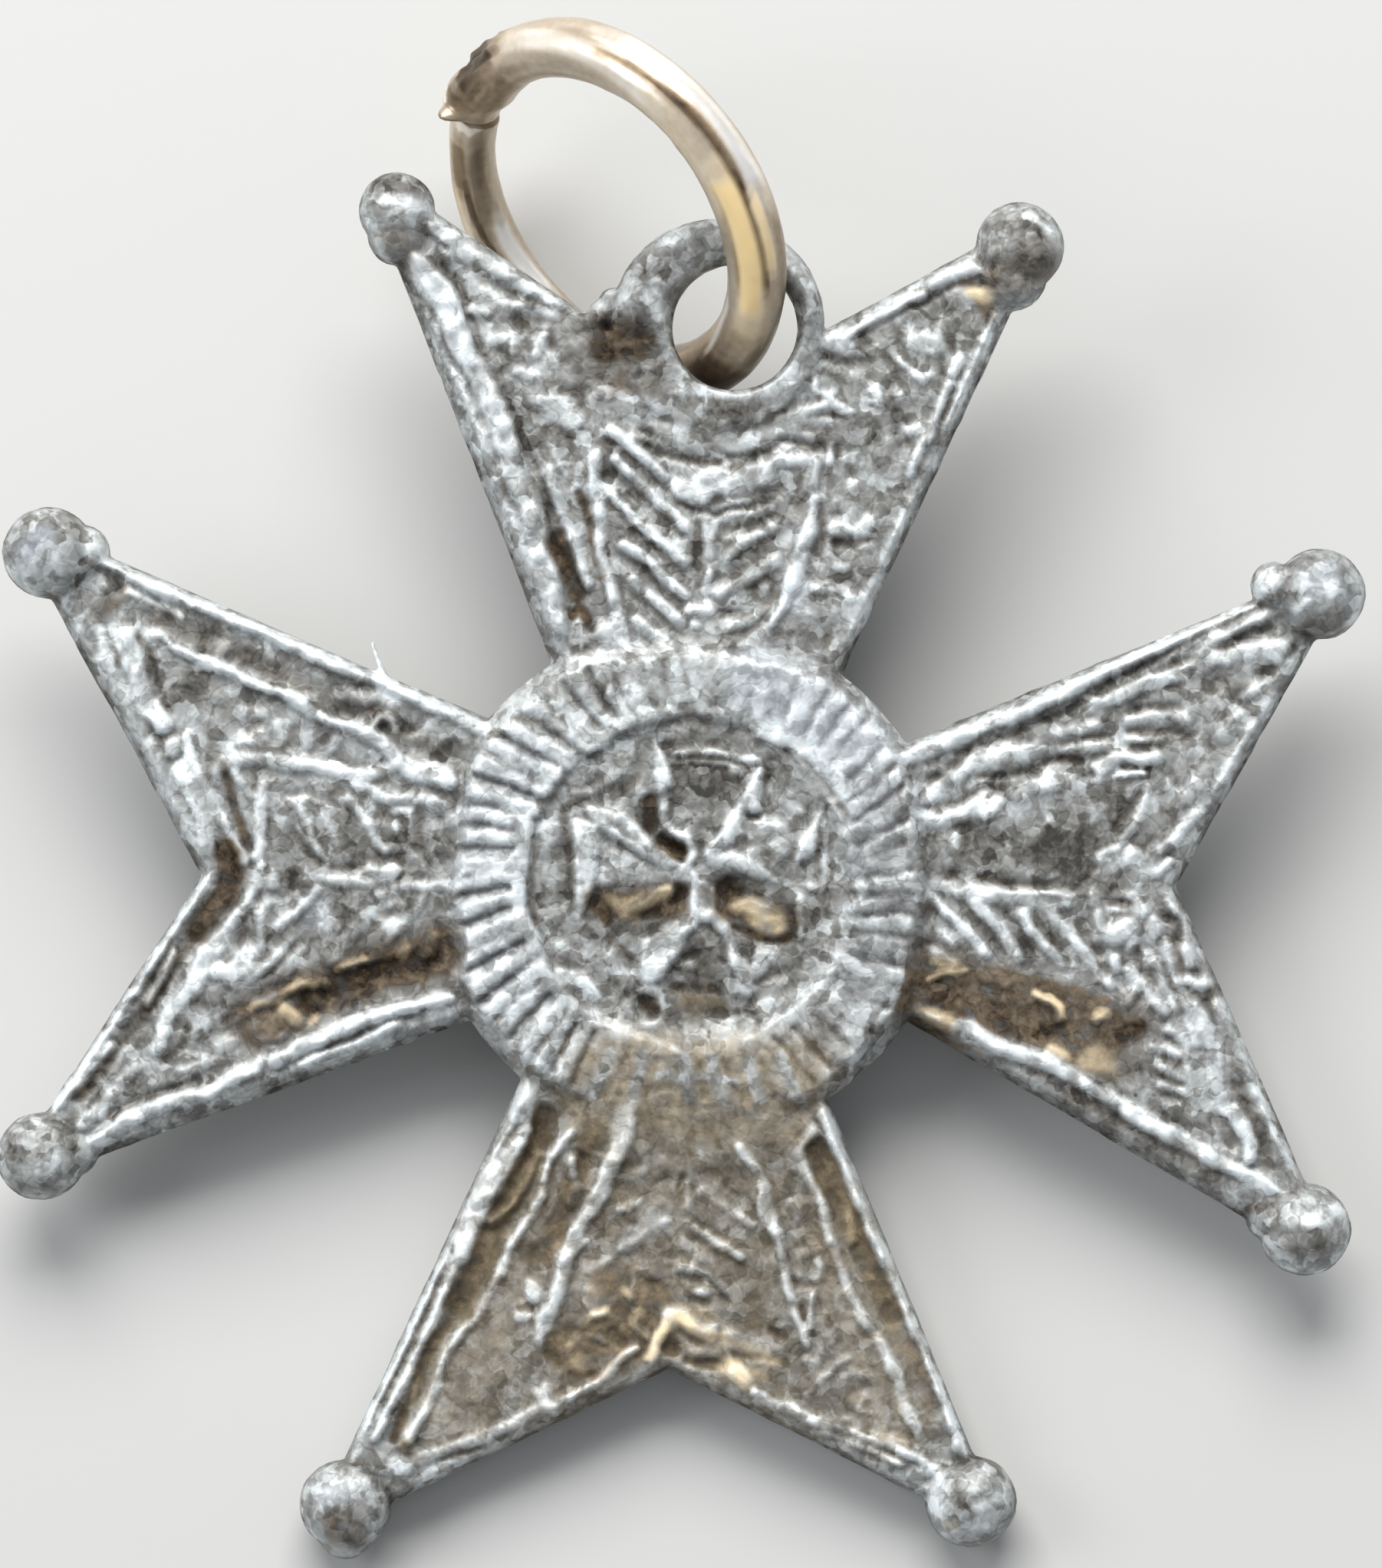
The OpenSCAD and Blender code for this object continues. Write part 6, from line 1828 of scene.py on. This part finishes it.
# the thin stretch: brown at its left, with a painted highlight at its right
ring_mark_and_painted_light(0.24, -0.36, 0.1, (10, 84), (20, 90), (28, 92))
ring_mark_and_painted_light(0.2, -0.14, 0.0, (10, 140), (30, 136), (46, 140))
ring_mark_and_painted_light(0.12, 0.04, 0.25, (26, 70), (38, 72), (50, 74))
ring_mark_and_painted_light(0.1, -0.36, 0.0, (24, 106), (38, 108), (50, 118), (64, 130))
ring_mark_and_painted_light(0.22, 0.38, 0.0, (42, 166), (54, 166), (66, 172), (76, 178))

write_attribute(ring_mesh, "tone", np.clip(ring_tone, 0, 1))
write_attribute(ring_mesh, "gold", np.clip(ring_gold, 0, 1))
for polygon in ring_mesh.polygons:
    polygon.use_smooth = len(polygon.vertices) == 4
print("points worn flat by the floor:", lay_down(ring_mesh, RING_LIE))
wire_ring = placed("wire_ring", ring_mesh)
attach(wire_ring, "root")
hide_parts("jump_ring")
print("ring box in mm:", [round(d / MM, 2) for d in wire_ring.dimensions])

# %% [markdown]
# ## Metals
# The cross is a grey silver alloy: nearly white where it is rubbed, grey over most of its
# face and almost black in its hollows, with brown dirt packed in the channels. A colour ramp
# over the written tone gives those greys. Ragged flakes, specks and thin winding lines break
# them up at a scale that the mesh can't hold. Dirt is not metal, so it takes the metallic
# shine away. The wire has a warm ramp from brown to cream, and its gilding lies over that.

# %% Node helpers
def new_material(name):
    material = bpy.data.materials.new(name)
    material.use_nodes = True
    tree = material.node_tree
    return material, tree, tree.nodes["Principled BSDF"]


def node(tree, kind, **settings):
    made = tree.nodes.new(kind)
    for key, value in settings.items():
        if key.startswith("in_"):
            made.inputs[key[3:].replace("_", " ")].default_value = value
        else:
            setattr(made, key, value)
    return made


def attribute(tree, name):
    return node(tree, "ShaderNodeAttribute", attribute_name=name).outputs["Fac"]


def math_node(tree, operation, a, b, clamp=False):
    made = node(tree, "ShaderNodeMath", operation=operation, use_clamp=clamp)
    for socket, value in zip(made.inputs, (a, b)):
        if isinstance(value, (int, float)):
            socket.default_value = value
        else:
            tree.links.new(value, socket)
    return made.outputs[0]


def ramp(tree, factor, stops):
    made = node(tree, "ShaderNodeValToRGB")
    elements = made.color_ramp.elements
    while len(elements) < len(stops):
        elements.new(0.5)
    for element, (place, colour) in zip(elements, stops):
        element.position = place
        element.color = (*colour, 1)
    tree.links.new(factor, made.inputs["Fac"])
    return made.outputs["Color"]


def mix_colour(tree, factor, a, b, blend="MIX"):
    made = node(tree, "ShaderNodeMix", data_type="RGBA", blend_type=blend)
    for index, value in ((0, factor), (6, a), (7, b)):
        socket = made.inputs[index]
        if isinstance(value, (int, float)):
            socket.default_value = value
        elif isinstance(value, tuple):
            socket.default_value = (*value, 1)
        else:
            tree.links.new(value, socket)
    return made.outputs[2]


print("node helpers ready")

# %% Grain, sums and bumps
def grain_node(tree, size_mm, detail, roughness=0.5, output="Fac"):
    """Noise on the piece's own coordinates, with grains of about that size."""
    place = node(tree, "ShaderNodeTexCoord").outputs["Object"]
    scale = 1 / (size_mm * MM)
    made = node(tree, "ShaderNodeTexNoise", in_Scale=scale, in_Detail=detail, in_Roughness=roughness)
    tree.links.new(place, made.inputs["Vector"])
    return made.outputs[output]


def arithmetic(tree):
    """Short names for adding, subtracting and multiplying in one node tree."""
    return [partial(math_node, tree, kind) for kind in ("ADD", "SUBTRACT", "MULTIPLY")]


def scaled(tree, value, middle, amount):
    """How far a value is from its middle, times an amount."""
    return math_node(tree, "MULTIPLY", math_node(tree, "SUBTRACT", value, middle), amount)


def bump_on(tree, shader, height, strength, depth_mm):
    bump = node(tree, "ShaderNodeBump", in_Strength=strength, in_Distance=depth_mm * MM)
    tree.links.new(height, bump.inputs["Height"])
    tree.links.new(bump.outputs["Normal"], shader.inputs["Normal"])


print("one millimetre is", MM, "m in the shaders too")

# %% Winding lines and flakes
FLAKE_WOBBLE = 0.16


def worm_lines(tree, size_mm, thickness):
    """Thin winding lines where soft noise crosses its middle value."""
    away = math_node(tree, "ABSOLUTE", math_node(tree, "SUBTRACT", grain_node(tree, size_mm, 1.0), 0.5), 0.0)
    return math_node(tree, "SUBTRACT", 1.0, math_node(tree, "DIVIDE", away, thickness), True)


def flakes(tree, size_mm):
    """Cells with ragged borders, each with its own value from 0 to 1."""
    shifted = node(tree, "ShaderNodeVectorMath", operation="MULTIPLY_ADD")
    tree.links.new(grain_node(tree, 0.14, 1.0, output="Color"), shifted.inputs[0])
    shifted.inputs[1].default_value = (FLAKE_WOBBLE * MM,) * 3
    tree.links.new(node(tree, "ShaderNodeTexCoord").outputs["Object"], shifted.inputs[2])
    cells = node(tree, "ShaderNodeTexVoronoi", feature="SMOOTH_F1", in_Smoothness=0.25)
    cells.inputs["Scale"].default_value = 1 / (size_mm * MM)
    tree.links.new(shifted.outputs[0], cells.inputs["Vector"])
    parts = node(tree, "ShaderNodeSeparateColor")
    tree.links.new(cells.outputs["Color"], parts.inputs[0])
    return parts.outputs[0]


print("a flake's border wanders by up to", FLAKE_WOBBLE, "mm")

# %% Tarnished silver
def tarnished_silver():
    material, tree, shader = new_material("tarnished_silver")
    add, less, times = arithmetic(tree)
    speck = grain_node(tree, 0.11, 3.0, 0.55)
    flake = flakes(tree, 0.17)
    dark_line = worm_lines(tree, 0.3, 0.055)
    light_line = worm_lines(tree, 0.24, 0.05)
    # the written tone, broken up, picks the grey
    change = add(scaled(tree, speck, 0.5, 0.25), scaled(tree, flake, 0.5, 0.36))
    change = add(change, scaled(tree, dark_line, 0.15, -0.1))
    change = add(change, scaled(tree, light_line, 0.15, 0.09))
    tone = add(attribute(tree, "tone"), change, True)
    metal = ramp(tree, tone, [
        (0.02, (0.05, 0.046, 0.04)),
        (0.25, (0.165, 0.162, 0.152)),
        (0.45, (0.306, 0.315, 0.309)),
        (0.65, (0.51, 0.535, 0.539)),
        (0.9, (0.785, 0.84, 0.86)),
    ])
    cold = times(attribute(tree, "cool"), 0.6, True)
    metal = mix_colour(tree, cold, metal, (0.56, 0.62, 0.7))
    # brown dirt with a ragged edge lies over it
    patch = grain_node(tree, 0.22, 3.0, 0.6)
    ragged = add(scaled(tree, patch, 0.5, 2.2), scaled(tree, flake, 0.5, 0.7))
    dirt = attribute(tree, "dirt")
    soil = times(times(add(dirt, times(dirt, ragged)), 1.15, True), 0.95)
    brown = ramp(tree, add(patch, scaled(tree, tone, 0.3, 0.9)), [
        (0.25, (0.02, 0.013, 0.008)),
        (0.55, (0.082, 0.06, 0.038)),
        (0.95, (0.18, 0.14, 0.098)),
    ])
    colour = mix_colour(tree, soil, metal, brown)
    # and tan deposits over both
    tan = times(attribute(tree, "gold"), add(scaled(tree, patch, 0.5, 2.0), 0.95), True)
    colour = mix_colour(tree, tan, colour, (0.82, 0.67, 0.44))
    tree.links.new(colour, shader.inputs["Base Color"])
    clean = less(1.0, math_node(tree, "MAXIMUM", soil, tan), True)
    tree.links.new(times(clean, 0.45), shader.inputs["Metallic"])
    tree.links.new(times(clean, 0.5), shader.inputs["Specular IOR Level"])
    tree.links.new(less(0.75, times(tone, 0.25)), shader.inputs["Roughness"])
    uneven = less(add(speck, times(flake, 0.5)), times(dark_line, 0.35))
    bump_on(tree, shader, uneven, 0.45, 0.012)
    return material


casting.data.materials.clear()
casting.data.materials.append(tarnished_silver())
print("silver on:", casting.name)

# %% Worn gold
def worn_gold():
    material, tree, shader = new_material("worn_gold")
    add, less, times = arithmetic(tree)
    speck = grain_node(tree, 0.1, 3.0)
    tone = less(add(attribute(tree, "tone"), times(speck, 0.16)), 0.08, True)
    colour = ramp(tree, tone, [
        (0.02, (0.04, 0.025, 0.014)),
        (0.25, (0.19, 0.135, 0.085)),
        (0.48, (0.47, 0.38, 0.28)),
        (0.68, (0.72, 0.64, 0.54)),
        (0.92, (0.93, 0.91, 0.88)),
    ])
    gilt = attribute(tree, "gold")
    colour = mix_colour(tree, gilt, colour, (1.0, 0.75, 0.38))
    tree.links.new(colour, shader.inputs["Base Color"])
    tree.links.new(less(0.6, times(gilt, 0.45)), shader.inputs["Metallic"])
    shader.inputs["Roughness"].default_value = 0.34
    bump_on(tree, shader, speck, 0.3, 0.005)
    return material


wire_ring.data.materials.clear()
wire_ring.data.materials.append(worn_gold())
for cad_node, dressed in (("cross_body", casting), ("jump_ring", wire_ring)):
    cad_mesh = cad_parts[cad_node]
    for slot in cad_mesh.material_slots:
        slot.material = dressed.data.materials[0]
print("gold on:", wire_ring.name)

# %% [markdown]
# ## Floor and light
# The medal lies on a plain pale floor. A large soft light stands beyond the top arm, as in
# the photograph, so that flanks facing up the picture are bright and the others dark. A
# weaker one fills from the left, and a grey world fills the rest.

# %% The stage
def area_light(name, place_mm, size_mm, watts, colour):
    """A soft rectangular light that looks at the middle of the medal."""
    data = bpy.data.lights.new(name, "AREA")
    data.shape = "RECTANGLE"
    data.size, data.size_y = size_mm[0] * MM, size_mm[1] * MM
    data.energy = watts
    data.color = colour
    lamp = placed(name, data)
    lamp.location = Vector(place_mm) * MM
    lamp.rotation_mode = "QUATERNION"
    lamp.rotation_quaternion = (-lamp.location).to_track_quat("-Z", "Y")


FLOOR_HALF = 0.35
bm = bmesh.new()
bmesh.ops.create_grid(bm, x_segments=8, y_segments=8, size=FLOOR_HALF)
floor_mesh = bpy.data.meshes.new("floor")
bm.to_mesh(floor_mesh)
bm.free()
floor = placed("floor", floor_mesh)
floor_material, _, floor_shader = new_material("pale_floor")
floor_shader.inputs["Base Color"].default_value = (0.52, 0.52, 0.51, 1)
floor_shader.inputs["Roughness"].default_value = 0.85
floor.data.materials.append(floor_material)

area_light("key", (-20, 140, 130), (160, 120), 0.62, (1.0, 0.99, 0.97))
area_light("side", (-150, 20, 110), (90, 90), 0.12, (0.94, 0.97, 1.0))
world = bpy.data.worlds.new("studio")
bpy.context.scene.world = world
world.use_nodes = True
sky = world.node_tree.nodes["Background"]
sky.inputs["Color"].default_value = (0.8, 0.83, 0.87, 1)
sky.inputs["Strength"].default_value = 0.45
bpy.context.scene.view_settings.view_transform = "Standard"
